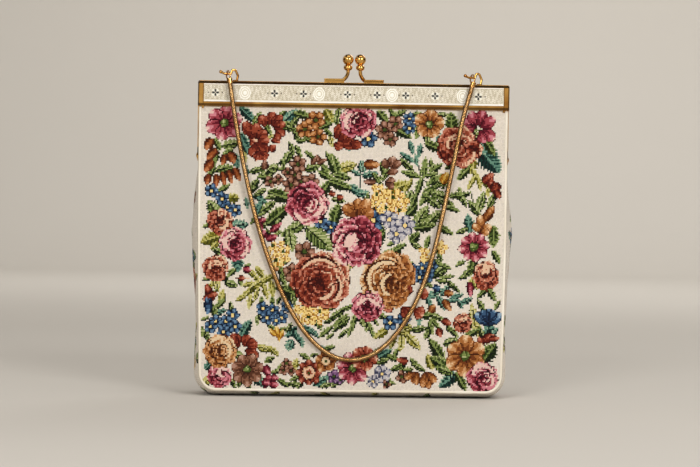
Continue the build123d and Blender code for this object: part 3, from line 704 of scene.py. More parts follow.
# The front's motifs. Each row: across, up, half length, direction and, for a broad leaf, how broad
leafRows = {
    "green": """
        6 83 4 200, 14 103.5 5 160 .5, 18 99 4 -60, 24.5 88 4.5 45 .5, 24 79 5.5 -20 .5, 19 83 4 200,
        36 92.5 4 40,
        31 81 4 100, 12 73 3 60, 47 66.5 4 90 .5, 55 66.5 4 90 .5, 60 67 3.5 60, 44 52.5 4.5 -100,
        16 64.5 5.5 45,
        24 62 4.5 100, 11 58.5 6 -75, 4.5 53 3.5 20, 5.5 40 5.5 115, 2 43 4 90, 31 24.5 6 -30 .5,
        53 22.5 4.5 30 .5,
        18 3.5 4.5 200, 25 4.5 4.5 -60, 30 5 4 80, 35.5 4.5 5 -50, 58 14 4.5 200, 61 17.5 3.5 60,
        63.5 5.5 5.5 -35,
        73 9 5 20, 72 4 5.5 -10, 77 5 4.5 60, 96.5 4 5 20, 103 4.5 4 30, 107.6 6.3 4 30, 79.5 25.5 5 150,
        87 26.5 3.5 20, 98.5 32 5 20, 90 50 5.5 -60 .5, 96 44.5 7.5 40 .28, 99 41 4 40, 100 62 4.5 10,
        98.5 53 5 30,
        105 58 8.5 35 .3, 107 53 7.5 40 .3, 110 51 6.5 50 .3, 112 62 6.5 20 .3, 109 43 5.5 45 .3,
        104 47 4.5 40,
        54.5 46 5.5 -50, 63 45.5 4.5 20, 68 47 4.5 60, 68 74 10.5 160 .5, 71 67 5.5 -80, 62 89 5.5 120 .5,
        63 82.5 4.5 -60 .5, 65 97 3.5 60 .6, 80 107 5 20, 61 77 5 200,
        141 103 7 40, 148 104 7 55, 155 98 6.5 -15, 150 99.5 5 20, 181 101.5 7 -75 .28, 180 96 5 -60,
        185 94.5 5.5 -20, 181 88.5 7 25 .28, 187 86.5 6.5 10 .28, 183 83.5 5 -10, 191.7 79.5 7.5 -40 .25,
        180 91 4.5 40,
        173 81 6 -40 .3, 169.5 82 4.5 -80, 197 97 4.5 30, 205.7 94.5 7.5 -105 .5, 199 86.5 4.5 200,
        202 89.5 6 50,
        224 102 6 -60, 213.8 74.5 5.5 225, 221 74 6.5 -60, 213 65.5 5.5 120, 225.5 66 4.5 60, 173 58 6.5 10,
        180 56 6 -20, 178.4 51.5 5.5 -40, 174 45 6.5 60, 166.6 47 6.5 10, 175.5 48 5.5 -70, 193 45 5.5 -50,
        188.7 48 3.5 110, 191 37.5 6.5 20 .5, 206.5 44.5 6.5 30, 214 45 5 110, 180 32 10.5 125,
        184.3 21 10.5 150,
        186 16 7.5 160, 199.8 8 8.5 -60, 220.4 30 9 55 .62, 149 29 4.5 60, 147.4 25 5.5 -20,
        139.3 22.5 5.5 20,
        135.5 31 3.5 40, 150.3 18 5.5 30, 155 19.5 4.5 60, 159 16.5 4.5 10, 163.6 21 5.5 -50, 167 18 5.5 -30,
        116.5 51 7.5 -100 .3, 121.5 53 5.5 -60 .3, 126 52 8.5 -85 .3, 130 46 6.5 -70 .3, 132 53.5 5.5 -50 .3,
        138.5 56 5.5 -30 .4, 114 45 5 -110 .3, 144.5 7 5.5 -20, 43 205 6 60, 51 196.5 5.5 -60, 61 208 4.5 40,
        65 200 7 165, 67 197.5 6.5 -15, 76.6 208 7 -15 .5, 71 202.5 5.5 60, 73 190.6 5.5 -60,
        76 188.4 4.5 10 .5,
        82 189 4.5 -30, 93 200 7.5 20, 96 195 4.5 -40, 103 207.6 7 80, 13.3 184.7 5.5 -60,
        23 184.7 7.5 15 .45,
        12 175 6 -100, 21.4 179.5 5 30, 9 164 5.5 -120, 18.4 166.3 7.5 15, 24 166 5 -20,
        41.3 154.5 5.5 60 .5,
        40 150.5 4.5 20, 45.7 148.6 5.5 30, 43.5 165.5 6.5 15, 51.6 163.3 6.5 10, 54.5 167.5 5.5 30,
        58.5 167 4 -20,
        48.6 160.4 5.5 0, 66.3 176 6.5 60 .5, 68.5 182.5 5.5 110, 73.7 180.3 5.5 110, 82.5 177.3 5 -40,
        62 170 4.5 -80, 84.7 167.8 6.5 20 .5, 93.6 168 5.5 -45, 101 170 9.5 105 .45, 97 175.5 6 120,
        95 162 7.5 -30,
        107 161.5 7.5 -15, 93.6 151 9.5 60, 105.4 155.2 9.5 -20, 104.6 143.4 5.5 -10, 60.5 146 10 -20 .5,
        53 145 4.5 10, 51.6 137.5 7.5 40, 59 131.6 12.5 40, 73.7 122.8 10.5 30, 66 119 6 40,
        68.5 112.5 8.5 -80 .55,
        90 114 13.5 -40 .5, 102.4 133 8.5 75 .55, 10.3 136 7.5 120 .6, 6 122.8 4.5 200, 18.4 151.5 5.5 30,
        41 128 4.5 60, 49 123.5 4.5 30, 52 118 4 -60, 58.5 117 4.5 40, 47 132 3.5 20, 59 126 4 60,
        137 207.6 6.5 -50 .5, 144.4 209.8 5.5 -60, 150 210.5 5.5 30, 151.8 195.8 8.5 -30 .45,
        162 205.4 5.5 -60,
        163 196.5 6 -100, 170.3 192 5.5 -80 .5, 175.4 185.5 7.5 -20 .5, 163 210.5 4.5 0, 181.3 209.8 5 10,
        188.7 204 8.5 95 .6, 205.7 197.3 6.5 -60, 213.8 194.3 6.5 -50 .5, 217.5 186.2 8.5 -60,
        198.3 165.5 7.5 -130,
        187.2 170.7 4.5 40, 183.5 178.8 4.5 -80, 211.6 143.4 8.5 75, 206.4 139 7.5 130, 219.7 144.5 7 65,
        197.6 121.3 5 200, 221.2 117.6 8.5 -90 .5, 137.8 167.8 5.5 -60, 132.6 160.4 5.5 -60,
        136.3 154.5 4.5 -80,
        139.3 163.3 5.5 60, 157 146.4 6 60 .6, 126 145.6 4.5 80, 131 139.8 4.5 10 .6, 159.2 136.8 7.5 50 .5,
        155.5 170.7 8 135 .3, 158.5 164 8 165 .3, 168.8 169.2 8.5 85 .3, 174 172.2 4.5 100, 177 169.2 6.5 30,
        174 164 5.5 15, 177 160.4 8.5 35 .3, 181.3 157.4 6.5 -20, 164.4 153.8 8.5 -105 .3,
        173.2 152.3 7.5 30,
        160.7 144.2 6.5 -110, 168.8 145.6 6.5 -120, 179 148.6 6.5 160 .6, 175.4 142.7 7.5 -40, 182 143 5 -50,
        195.3 151 4.5 100, 193 148.6 6.5 10, 199.8 149.3 5 20, 198.3 144.2 5.5 -60, 188.7 141 5 -60,
        191 138 5.5 -20, 166.6 131.6 10.5 60 .45, 175.4 130 9.5 50 .4, 169.5 124.2 8.5 10 .45, 185 122 7 -30,
        162 116 5.5 50 .7, 135.6 114.7 7.5 60 .5, 171.7 113.2 5.5 75, 144.4 111 4 20, 150.3 108 6.5 30,
        163.6 109.5 5.5 -30, 138 122.8 4 60
    """,
    "teal": """
        29 93.5 5.5 -90 .8, 16 58 5.5 20, 35 46 7.5 60 .5, 7.4 18.5 5.5 45 .5, 44 7.5 6.5 -50 .6,
        92.5 7 7.5 30 .45,
        94 32 3.5 140, 69 42 5.5 200, 68.5 33.5 4.5 -110 .8, 74 40 5.5 -60, 77.5 36 4.5 -80, 82 45.5 6.5 -20,
        87.5 42.5 4.5 -50, 71 45.5 4.5 40, 220.5 48 4.5 0 .7, 224.5 46 4.5 50, 217 45.5 4.5 240, 179 75 6 20,
        185.7 76.5 5.5 60, 174 72 5 -10, 174 67 5.5 -70, 182.8 67 6.5 -60, 194.6 72 5.5 20, 202 68.5 5.5 30,
        197 66.5 4.5 -60, 191.6 69 4.5 0, 189.5 8.5 8.5 215 .5, 191.7 14 6 -100, 140 28 7.5 30,
        166.5 53 4.5 -90,
        35.4 207.6 8.5 -45 .42, 66.3 206 9 45 .42, 112 184.7 4.5 -90, 27.3 172 6.5 -80, 33 185.5 9.5 -65 .42,
        34.6 166.3 4.5 -60, 45.7 143.4 6.5 -30, 44.2 135.3 7.5 70 .5, 35.4 140.5 4.5 100, 30.2 123.5 7 10 .6,
        182 192 5.5 30 .6, 216.8 177 14 -50 .55, 213 186 6 100, 202.7 127.2 7.5 100 .5, 122 169.5 5 100 .6,
        117 164.8 4.5 150, 128 163.3 6.5 15, 116.4 151.5 6.5 -30 .5, 122.3 148.6 5.5 10 .5,
        158.5 184.7 5.5 105,
        165 182.5 5.5 80, 155.5 177 7.5 145 .28, 162.5 175 5 100 .3
    """,
    "lime": """
        13 79 6 -80 .5, 9 77.5 4 -100, 17 69 6.5 80 .45, 48 31 5.5 160 .5, 56 29 5.5 -40 .45,
        5.5 6.5 5 60 .6,
        73 19.5 5 80 .5, 113 93 4.5 20 .5, 205.6 84 4.5 60, 209 80 4 -60, 208 56 11 100 .3,
        211.6 46.5 6.5 100,
        175.5 22.5 6.5 110 .5, 137.8 43.5 7.5 215, 146.6 38 6.5 250, 153.3 36.5 6.5 -95, 156 45 6.5 15,
        162 37.5 8.5 -45, 156 49 5.5 5, 222 3.6 3.5 60, 96.5 207.6 6.5 -60 .6, 98 189 5.5 -80,
        51.6 190.6 4.5 20,
        33 176 5 -70, 110.5 169 8 20 .5, 25.8 144 4.5 0 .8, 8.8 113 8.5 200 .6, 12 108 5 220,
        205 170.7 6.5 -100 .5,
        208 163.3 7 -60 .3, 204 158 6.5 -120 .3, 210.5 157.4 5.5 -80 .35, 215.3 158 6 -60,
        217 151.5 4.5 -100,
        149.6 154.5 9.5 25 .45, 142.2 152.3 5.5 30, 156.5 155.5 6 60 .4,
        38 74 10 35 .22, 45 80 10 35 .3, 36 79 5 200, 41 86 6 -45, 46 88 6 -50, 50 74 7 -75 .3, 55 76 7 -85,
        43 71 6 -110 .3, 38 66 6 -100 .35, 52 84 6 30 .4, 32 69 5 30
    """,
}
# Open flowers: across, up, size, petals, turn, then how large the heart is
starRows = {
    "wine": "18 201 14.5 6 20 3, 116.5 17 13.5 7 10 2.8, 206.8 109.5 12.5 8 10 3.2",
    "amber": "202.2 27 16.5 6 30 3.4, 172 202.4 12 5 10 2.8",
    "mauve": "36 15 13 7 13 2.6",
    "rust": "125.5 24.5 10.5 5 0 2.6",
}
smallRows = {
    "blue": """
        25 55.5 5.6 5 0, 12.4 50.7 5.4 5 20, 19.8 50.7 5.2 5 40, 8.3 46.7 5.2 5 0, 26.7 47.2 5.4 5 10,
        18.2 43 5.4 5 50,
        47.8 60.8 5.4 5 10, 55.4 59.6 5.4 5 30, 51.2 54.2 5.4 5 0, 62.1 54.4 5.4 5 20, 66 63 5 5 0,
        58 52 4 5 30,
        161 91 5.6 5 10, 156 85.8 5.4 5 40, 174.7 94.4 5.4 5 0, 172 86.8 5.2 5 20, 166 85.7 4.8 5 0,
        168 93 4.6 5 30,
        144.5 51.4 6 5 20, 154.8 54.4 5.5 5 0, 9 149.3 5.6 5 0, 17 143.3 5.6 5 30, 20.8 136.7 5 5 10,
        27 134.6 5.2 5 40,
        91 127 5.6 5 10, 98.6 122.8 5.6 5 40, 156.8 206.5 5.2 5 0, 157 199.3 5.2 5 30, 126.2 190.6 7 5 10,
        130.5 128.2 8.8 5 20
    """,
    "lilac": "142.6 129.4 7.2 5 30, 154.4 125 8 5 10, 148.3 118.4 7.4 5 50, 139.1 13 7 6 20, 132.1 7.4 5 5 0",
    "mauve": """
        73.7 170.3 6.6 5 30, 71 162.6 6.2 5 0, 75.7 157 6.4 5 40, 83.5 157 6.6 5 10, 68.3 154.5 6.4 5 20,
        66 164 4.6 4 0,
        53 156.7 5 4 30, 59 158.5 4.2 4 0, 70 88.3 7.4 5 20, 79 104 8.4 5 0, 138.2 197.3 7.4 5 20,
        146.3 202.4 6.4 5 50,
        142.6 190.3 6 5 10, 154.3 11 5.2 4 20, 66 20 4.2 4 10, 63.5 14.6 4 4 30, 69.5 14.6 4.2 4 0,
        142.3 5 3.6 3 0
    """,
    "amber": "78.5 197 7 5 20, 86.5 204.4 7.4 5 50, 88.3 191.4 6.8 5 0",
    "violet": "102.5 10.5 5.6 5 10, 107 8 3.4 4 0",
}
# Closed buds and berries: across, up, half length, direction, then how broad
budRows = {
    "russet": """
        6.6 184.7 5 -120 .7, 8.8 177 5.5 -130 .6, 6.6 168 5.5 -120 .6, 18 173 4 -110 .7, 24 174.4 4.6 -60 .8,
        6 157.4 4.4 -100 .58, 12.5 157 4.8 -88 .52, 17.8 158.5 5.2 -78 .46, 22.8 160 5.2 -72 .46,
        28 162 5.8 -62 .46
    """,
    "rust": """
        56.8 188 3.4 -20 .7, 54.5 182.5 3.2 60 .9, 7 74 5 110 .6, 7 69 5 -150 .7, 10 70.5 4 20 .8,
        32 83.5 2.6 0 .9,
        187.4 52.6 4.2 -20 .6, 182 44.6 3.8 -70 .7, 154.4 23.4 4.4 170 .6, 99.9 148.2 2.6 0 .9,
        105.5 145.7 2.6 0 .9,
        217 162 5.5 40 .6, 219 158 4 80 .7, 222.3 154 5 -90 .8, 224 150 4 -60 .7, 213.8 38 3.8 110 .8,
        219.5 41 5 30 .7, 224 40.5 4 10 .6
    """,
    "amber": """
        188.7 74.3 3.8 0 .7, 176.2 62.5 3.4 60 .9, 187.5 65 5.2 -55 .5, 129 171 6.4 0 .55,
        218 135.3 6.4 60 .5,
        57 91 3 0 .8
    """,
    "wine": """
        36 90 3 0 .9, 51 14.5 4.2 -50 .8, 52.5 9 3 0 1, 50.5 5 3.4 0 1, 56.5 4 3.4 0 1, 57 9 3 0 1,
        204.7 77.5 6 -85 .45,
        47 127 3.6 30 .7, 45.7 122.8 3.4 -60 .7, 57.5 122 5.4 40 .45, 48 117 3.6 60 .7, 54.5 114.4 4.6 20 .6
    """,
    "blue": "6.6 62 6 -95 .5, 6 66 3 110 .6, 179.3 78 2.9 0 1",
    "mauve": "89 174 4 110 .5, 86 173.5 4 60 .5, 92 173 4 30 .5, 48.7 169.6 3.6 90 .8, 127.5 157.8 4.4 180 .55",
    "gold": "184.3 162 5 60 .6, 59 43.5 4.6 100 .5, 55.5 43 4 140 .5, 62 42 4 60 .5, 60 38.5 3 -80 .4",
}


def paintPetals(chart, rows):
    for x, y, length, width, turn, kind, light in rows:
        chart.petal(x, y, length, width, turn, kind, 0.5, light, 0.35)


def paintFront(chart):
    # From the back of the posy to its front: stems, leaves, small flowers, large ones.
    stems = [
        ("teal", 0.5, [(118, 170), (121, 164), (120, 154), (122, 148)]),
        ("teal", 0.5, [(112, 166), (121, 163), (133, 165)]),
        ("green", 0.5, [(137, 172), (136, 163), (135, 150)]),
        ("green", 0.6, [(162, 178), (166, 164), (165, 150), (161, 141)]),
        ("green", 0.5, [(150, 178), (159, 168), (166, 160), (184, 153)]),
        ("green", 0.5, [(166, 158), (172, 150), (181, 140), (190, 136)]),
        ("green", 0.5, [(184, 152), (192, 148), (198, 143)]),
        ("teal", 0.5, [(170, 73), (184, 70), (196, 68), (205, 71)]),
        ("green", 0.5, [(144, 16), (152, 18), (162, 16), (172, 16)]),
        ("green", 0.5, [(170, 55), (181, 54), (186, 52)]),
        ("green", 0.5, [(172, 84), (184, 90), (180, 104)]),
        ("lime", 0.7, [(27, 66), (40, 76), (56, 84)]),
        ("lime", 0.6, [(204, 166), (212, 160), (218, 150)]),
        ("green", 0.5, [(60, 172), (55, 164), (44, 152)]),
        ("green", 0.5, [(13, 186), (12, 172), (9, 160)]),
        ("green", 0.5, [(24, 172), (24, 164), (12, 160)]),
        ("green", 0.5, [(204, 150), (208, 134), (216, 128)]),
        ("green", 0.5, [(203, 84), (206, 74), (205, 70)]),
    ]
    for kind, wide, spots in stems:
        chart.stroke(spots, wide, kind, 1.2)
    for kind in ("teal", "lime", "green"):
        for row in rowsOf(leafRows[kind]):
            chart.leaf(*row[:4], *row[4:5], kind=kind)
    for kind, text in budRows.items():
        for x, y, half, turn, slim in rowsOf(text):
            chart.bud(x, y, half, turn, kind, slim)
    for x, y, wide, tall in rowsOf("59 102 9 9.5, 84 58.5 14.5 9, 142 142 14.5 11, 134 150 6 6, 170 102 5.5 6, 182 109 4.5 5"):
        chart.cluster(x, y, wide, tall)
    for x, y in rowsOf("63 104, 57.7 97.3, 55.3 108.4, 78.5 64.3, 82.2 55, 91 60, 133 148.6, 145.4 146.4, 140 138.3, 150 136.8"):
        chart.disc(x, y, 1.5, "green", 1.4, 0.05)
    for kind, text in smallRows.items():
        heart = "gold" if kind in ("blue", "lilac") else "green"
        for x, y, size, petals, turn in rowsOf(text):
            chart.small(x, y, size, int(petals), turn, kind, heart, 2.9 if kind != "lilac" else 3.4)
    # Red and orange petals that stand alone
    paintPetals(chart, [
        (37, 191, 13, 2.6, -65, "rust", 5.0), (35, 192, 10, 2.4, -30, "rust", 4.6),
        (41, 181, 9, 2.2, -80, "rust", 4.6),
        (40, 189, 15, 4.6, 118, "rust", 2.4), (42, 189, 12, 4.6, 88, "rust", 2.9),
        (43, 188, 10, 4.6, 50, "rust", 2.5),
        (43, 187, 9, 4.6, 15, "rust", 2.9), (42, 186, 12, 5.0, -45, "rust", 2.4),
        (41, 186, 11, 4.6, -95, "rust", 3.1),
        (45, 180, 8, 4.4, -55, "rust", 2.6), (43, 180, 7, 4.2, -85, "rust", 2.2),
        (51, 199, 12, 4.2, 70, "rust", 2.4), (49, 198, 10, 4.2, 110, "rust", 3.0),
        (53, 199, 12, 4.2, 45, "rust", 2.2),
        (54, 199, 10, 3.8, 15, "rust", 2.9), (55, 199, 11, 3.4, -40, "rust", 2.6),
        (57, 196, 8, 2.8, -75, "rust", 3.0),
        (101, 190, 13, 5, 60, "rust", 2.8), (103, 188, 14, 5, 30, "rust", 3.0),
        (104, 186, 14, 5, 5, "rust", 2.6),
        (112, 188, 10, 4, -20, "rust", 2.6), (100, 187, 8, 4, -30, "rust", 2.6),
        (117, 130, 13, 5, 110, "amber", 3.2), (118, 130, 15, 4.5, 85, "amber", 2.6),
        (119, 130, 17, 5, 60, "amber", 3.4),
        (118, 130, 14, 4.5, 135, "amber", 2.8), (120, 129, 13, 5, 35, "amber", 2.8),
        (150, 69, 11, 5.5, 60, "rust", 2.8), (164, 71, 10, 5, 30, "rust", 3.4),
        (162, 62, 9, 5.5, -30, "rust", 3.4),
        (153, 64, 10, 5, -50, "rust", 2.4), (147, 67, 10, 5.5, 215, "rust", 3.6),
        (156, 70, 11, 5.5, 90, "rust", 2.6),
        (30, 31, 12, 5, 115, "rust", 2.2), (33, 32, 10, 5, 60, "rust", 2.4), (35, 33, 9, 5, 10, "rust", 2.4),
        (34, 30, 12, 4.5, -30, "rust", 3.0), (27, 31, 9, 4, 100, "rust", 2.2),
        (167, 15, 10, 3.6, -120, "amber", 2.4), (166, 15, 10, 3.4, -95, "amber", 3.0),
        (165, 15, 10, 3.0, -145, "amber", 2.8),
        (172, 15, 13, 3.8, -75, "amber", 2.4), (172, 15, 12, 3.6, -100, "amber", 2.8),
        (173, 15, 11, 3.4, -45, "amber", 2.8),
        (212, 122, 12, 3.6, 95, "amber", 4.2), (213, 120, 10, 3.4, 135, "amber", 4.0),
        (211, 121, 10, 3.6, 30, "amber", 4.0),
        (211, 121, 7, 3.4, 0, "amber", 3.8),
        (219, 50, 14, 4, 45, "blue", 3.8), (219, 50, 14, 4, 135, "blue", 3.8),
        (219.5, 52, 11, 4.6, 90, "blue", 2.2),
        (219, 53, 10, 4, 60, "blue", 2.4), (219, 53, 10, 4, 120, "blue", 2.4),
        (143, 168, 10, 3.6, 75, "mauve", 3.4), (141, 167, 9, 3.4, 110, "mauve", 2.6),
        (144, 168, 9, 3, 40, "mauve", 3.2),
        (140, 164, 9, 3.2, 20, "mauve", 2.8), (139, 158, 8, 3, 10, "mauve", 2.8),
        (139, 157, 8, 2.8, -25, "mauve", 2.6),
        (208, 200, 13, 4.5, 150, "wine", 3.4), (208, 201, 13, 4.5, 115, "wine", 3.4),
        (209, 201, 14, 4.5, 75, "wine", 2.8),
        (210, 200, 14, 4.5, 35, "wine", 3.2), (211, 199, 13, 5, -35, "wine", 3.2),
        (207, 200, 9, 4, 190, "wine", 2.8),
        (210, 199, 11, 4, -70, "wine", 3.0),
    ])
    for kind, text in starRows.items():
        for x, y, size, petals, turn, heart in rowsOf(text):
            chart.star(x, y, size, int(petals), turn, kind, heart, light=3.7 if kind != "mauve" else 3.0)
    chart.star(83.2, 13.3, 10.5, 8, 0, "rust", 4.6, "amber", light=2.7)
    chart.disc(83.2, 13.3, 4.2, "rust", 4.0, 0.1)
    chart.disc(83.2, 13.3, 2.2, "rust", 1.8, 0.1)
    chart.disc(83.2, 13.3, 1.2, "green", 1.6)
    chart.star(96, 22, 9, 5, 20, "amber", 3.2, "amber", light=3.0)
    chart.disc(96, 22, 2.8, "amber", 4.0, 0.1)
    chart.disc(96, 22, 1.3, "green", 1.4)
    paintRoses(chart)


def paintRoses(chart):
    small = ((0.66, 0.40, 6), (0.38, 0.36, 4), (0.12, 0.24, 2))
    chart.rose(12.5, 91, 9.6, "rust", 0, rings=small)
    chart.rose(15.9, 126, 9.6, "rust", 30, rings=small)
    chart.rose(199.8, 51.8, 7.4, "rust", 10, rings=small)
    chart.rose(15, 10.5, 9, "wine", 20, rings=small)
    chart.rose(216.5, 88, 9.8, "rust", 20, 1.22, 90, rings=small)
    chart.rose(27, 109, 12, "wine", 0, 1.0, 110)
    chart.rose(15.5, 28.8, 12.2, "amber", 40)
    chart.rose(216, 11, 12.2, "wine", 30)
    chart.rose(118, 204, 13.5, "wine", 10, 0.95, 120)
    chart.rose(193.5, 185, 15.5, "rust", 0, 1.0, 40)
    chart.rose(206, 184, 6.5, "rust", 0, 1.0, 0, rings=((0.4, 0.6, 3),))
    chart.rose(142.5, 84, 19.5, "amber", 10, 1.05, 150,
               rings=((0.74, 0.36, 8), (0.54, 0.34, 7), (0.34, 0.30, 5), (0.14, 0.22, 3)))
    chart.rose(91.5, 82, 21, "rust", 0, 1.0, 40,
               rings=((0.76, 0.32, 10), (0.58, 0.31, 8), (0.38, 0.29, 6), (0.18, 0.24, 3)))
    chart.rose(80.5, 141, 16, "wine", 0, 0.95, -30)
    chart.rose(118, 112, 18, "wine", 15, 1.0, 200,
               rings=((0.72, 0.38, 7), (0.44, 0.36, 5), (0.15, 0.30, 2)))
    chart.rose(127.2, 64, 12, "wine", 0, 0.95, 90)
    strokes = [
        (91, 84, 14.5, 40, 150, 2.6, "rust", 4.0), (94, 78, 13, -60, 40, 2.6, "rust", 4.0),
        (92, 78, 9, -100, 10, 2.2, "rust", 4.0),
        (91, 84, 16.4, 30, 160, 1.8, "rust", 0.0), (94, 78, 11, -60, 50, 1.6, "rust", 0.2),
        (88, 78, 6, 20, 200, 1.6, "rust", 0.0),
        (88, 76, 3.6, 0, 300, 1.4, "rust", 0.4), (91, 82, 19.5, 170, 250, 1.6, "rust", 0.4),
        (141, 84, 13, 60, 235, 2.8, "amber", 4.0), (140, 84, 14.8, 50, 240, 1.6, "amber", 0.2),
        (146, 80, 8, 90, 260, 2.2, "amber", 4.0),
        (147, 79, 6, 60, 280, 1.4, "amber", 0.2), (148, 77, 3, 0, 300, 1.4, "amber", 0.6),
        (133, 84, 8, 130, 230, 1.6, "amber", 0.2),
        (12.5, 91.5, 4.6, 10, 110, 1.8, "rust", 4.0), (12.5, 91.5, 4.6, 130, 200, 1.6, "rust", 4.0),
        (17, 125, 4, -120, 60, 2.0, "rust", 4.0), (16, 127, 2, 90, 260, 1.4, "rust", 0.2),
        (25, 110, 5.5, 100, 250, 2.6, "wine", 4.2), (30, 106, 6, -80, 30, 2.2, "wine", 4.0),
        (27, 109, 3, 0, 270, 1.4, "wine", 0.2),
        (16, 29, 7, -60, 90, 2.6, "amber", 4.2), (15, 31, 7.5, 70, 160, 2.2, "amber", 4.2),
        (11.5, 27, 3.6, 0, 300, 1.6, "amber", 0.3),
        (215, 14, 6, 40, 190, 2.8, "wine", 4.2), (219, 9, 5, -60, 60, 1.8, "wine", 4.0),
        (216, 8, 4, 0, 250, 1.4, "wine", 0.2),
        (83, 140, 9, -80, 40, 3.0, "wine", 4.2), (80, 137, 9, 200, 280, 2.2, "wine", 4.2),
        (76, 146, 6, 20, 200, 1.6, "wine", 0.0),
        (77, 144, 3.2, 0, 250, 1.4, "wine", 0.0), (84, 139, 12, -70, 20, 1.4, "wine", 0.2),
        (90, 137, 5, -40, 100, 1.8, "wine", 3.4),
        (115, 112, 2.4, 0, 359, 8.5, "wine", 3.9), (117, 110, 2.6, 200, 340, 1.6, "wine", 2.9),
        (116, 112, 8.0, 20, 200, 1.6, "wine", 0.2), (108, 116, 9, 150, 230, 1.6, "wine", 0.0),
        (112, 104, 9, 170, 250, 2.0, "wine", 4.0), (124, 118, 6, -30, 90, 1.6, "wine", 0.2),
        (124, 106, 7, -90, 20, 1.6, "wine", 0.2),
        (127, 61, 8, 20, 80, 2.6, "wine", 4.3), (127, 61, 8, 100, 160, 2.6, "wine", 4.3),
        (127, 59, 4, 0, 180, 1.4, "wine", 0.2),
        (116, 203, 7, 110, 230, 2.6, "wine", 4.2), (120, 199, 7, -90, 0, 2.2, "wine", 4.0),
        (120, 205, 5, 0, 200, 1.4, "wine", 0.1),
        (192, 188, 6, 90, 220, 2.2, "rust", 3.9), (197, 181, 9, -90, 10, 2.4, "rust", 3.9),
        (190, 185, 11, 170, 250, 1.6, "rust", 0.1),
        (216.5, 93, 1.6, 0, 359, 4.2, "rust", 3.9), (216.5, 90, 7, 170, 370, 1.4, "rust", 0.3),
        (216.5, 89, 5, 190, 350, 1.8, "rust", 3.2),
        (17.5, 12.5, 3.2, 20, 300, 2.2, "wine", 4.0), (200, 52, 3.4, 20, 150, 1.6, "rust", 4.0),
    ]
    for x, y, r, start, end, wide, kind, shade in strokes:
        chart.arc(x, y, r, start, end, wide, kind, shade)


front = Chart(*chartSize, 7)
paintFront(front)
print("chart", round(float(front.motif.mean()), 3))


# Cloth of the panels, one quad for each stitch
panel = {"inset": 0.35, "sag": 0.55, "back": 1.3}


def outlineInset(x, z):
    # How far inside the piping's line a point of the panel is, below zero outside it.
    side = sideAt(np.maximum(z, part["pipingHeight"])) - np.abs(x)
    low = z - part["pipingHeight"]
    corner = part["panelCorner"]
    both = (side < corner) & (low < corner)
    return np.where(both, corner - np.hypot(corner - side, corner - low), np.minimum(side, low))


def stitchCloth(name, chart, facing, material):
    across, up = chartSize
    top = 183.6
    columns = np.arange(across + 1)
    rows = np.arange(up + 1)
    heights = part["pipingHeight"] + rows * part["stitch"]
    x = (2 * columns[None, :] / across - 1) * sideAt(heights)[:, None]
    z = np.repeat(heights[:, None], across + 1, 1)
    middleX = (x[:-1, :-1] + x[1:, 1:]) / 2
    middleZ = (z[:-1, :-1] + z[1:, 1:]) / 2
    keep = (outlineInset(middleX, middleZ) > panel["inset"]) & (middleZ < top)
    keep &= ~((middleZ > 179.6) & (np.abs(middleX) > 93.7))
    # Soft unevenness, none at the edge, where the piping holds the cloth.
    hold = np.clip(outlineInset(x, z) / 14, 0, 1) * np.clip((182 - z) / 14, 0, 1)
    hold = hold * hold * (3 - 2 * hold)
    wave = (np.sin(x / 17 + z / 31 + 0.6) * np.sin(z / 21 + 1.1) + 0.6 * np.sin(x / 9.5 - z / 14)
            * np.sin(z / 37 + 0.4) + 0.35 * np.sin(x / 43 + 2.0))
    sink = panel["sag"] * wave * hold
    rise = 0.15 * front.motif[np.clip(np.arange(up + 1) - 1, 0, up - 1)][:, np.clip(columns - 1, 0, across - 1)]
    y = -(depthAt(z) + (sink + rise) * hold)
    points = np.stack([x, y, z], -1).reshape(-1, 3)
    if facing < 0:
        points = points * (-1, -1, 1)
    number = np.arange(points.shape[0]).reshape(up + 1, across + 1)
    jj, ii = np.nonzero(keep)
    quads = np.stack([number[jj, ii], number[jj, ii + 1], number[jj + 1, ii + 1], number[jj + 1, ii]], 1)
    # A wall round the rim, reaching back behind the cloth, gives its edge a thickness; the back stays open.
    used, quads = np.unique(quads, return_inverse=True)
    quads = quads.reshape(-1, 4)
    points = points[used]
    count = len(points)
    edges = {}
    for quad in quads:
        for a, b in zip(quad, np.roll(quad, -1)):
            edges[(a, b)] = True
    rim = [(a, b) for a, b in edges if (b, a) not in edges]
    rimPoints = sorted({a for a, _ in rim})
    moved = points[rimPoints] + np.array([0, panel["back"] * facing, 0])
    below = {a: count + k for k, a in enumerate(rimPoints)}
    walls = [(b, a, below[a], below[b]) for a, b in rim]
    points = np.concatenate([points, moved])
    faces = [tuple(q) for q in quads] + walls
    piece = makeMesh(name, points, faces, material)
    shades = np.zeros((len(faces), 3))
    shades[:len(jj)] = chart.colour[jj, ii]
    shades[len(jj):] = threads["ground"][1]
    putTintAndShade(piece, "CORNER", np.repeat(linearArray(shades), 4, axis=0))
    putWeave(piece, [(0, 0, 0), (1, 0, 0), (1, 1, 0), (0, 1, 0)])
    return piece


kinds = ("roses", "amber_flowers", "mauve_flowers", "blue_flowers", "gold_flowers", "leaves")


def makePanels():
    cloth = stitchCloth("frontCloth", front, 1, needlework)
    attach(cloth, "bag")
    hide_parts("front_panel", *[f"front_{kind}" for kind in kinds if f"front_{kind}" in nodes])
    cloth = stitchCloth("backCloth", front, -1, needlework)
    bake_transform(cloth)
    extra = [f"back_{kind}{end}" for kind in kinds for end in ("", "_top") if f"back_{kind}{end}" in nodes]
    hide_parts("back_panel", "back_panel_top", *extra)
    print("panels")


makePanels()


# Gusset: down one side, along the bottom and up the other
gusset = {
    "stations": [(146.0, 0.9, 2.0), (130.0, 2.7, 3.0), (103.0, 5.6, 4.5), (72.0, 3.9, 7.0),
              (42.0, 3.2, 10.5),
                 (14.4, 4.4, 15.0)],
    "stitch": 0.9,
    "wide": 46,
}


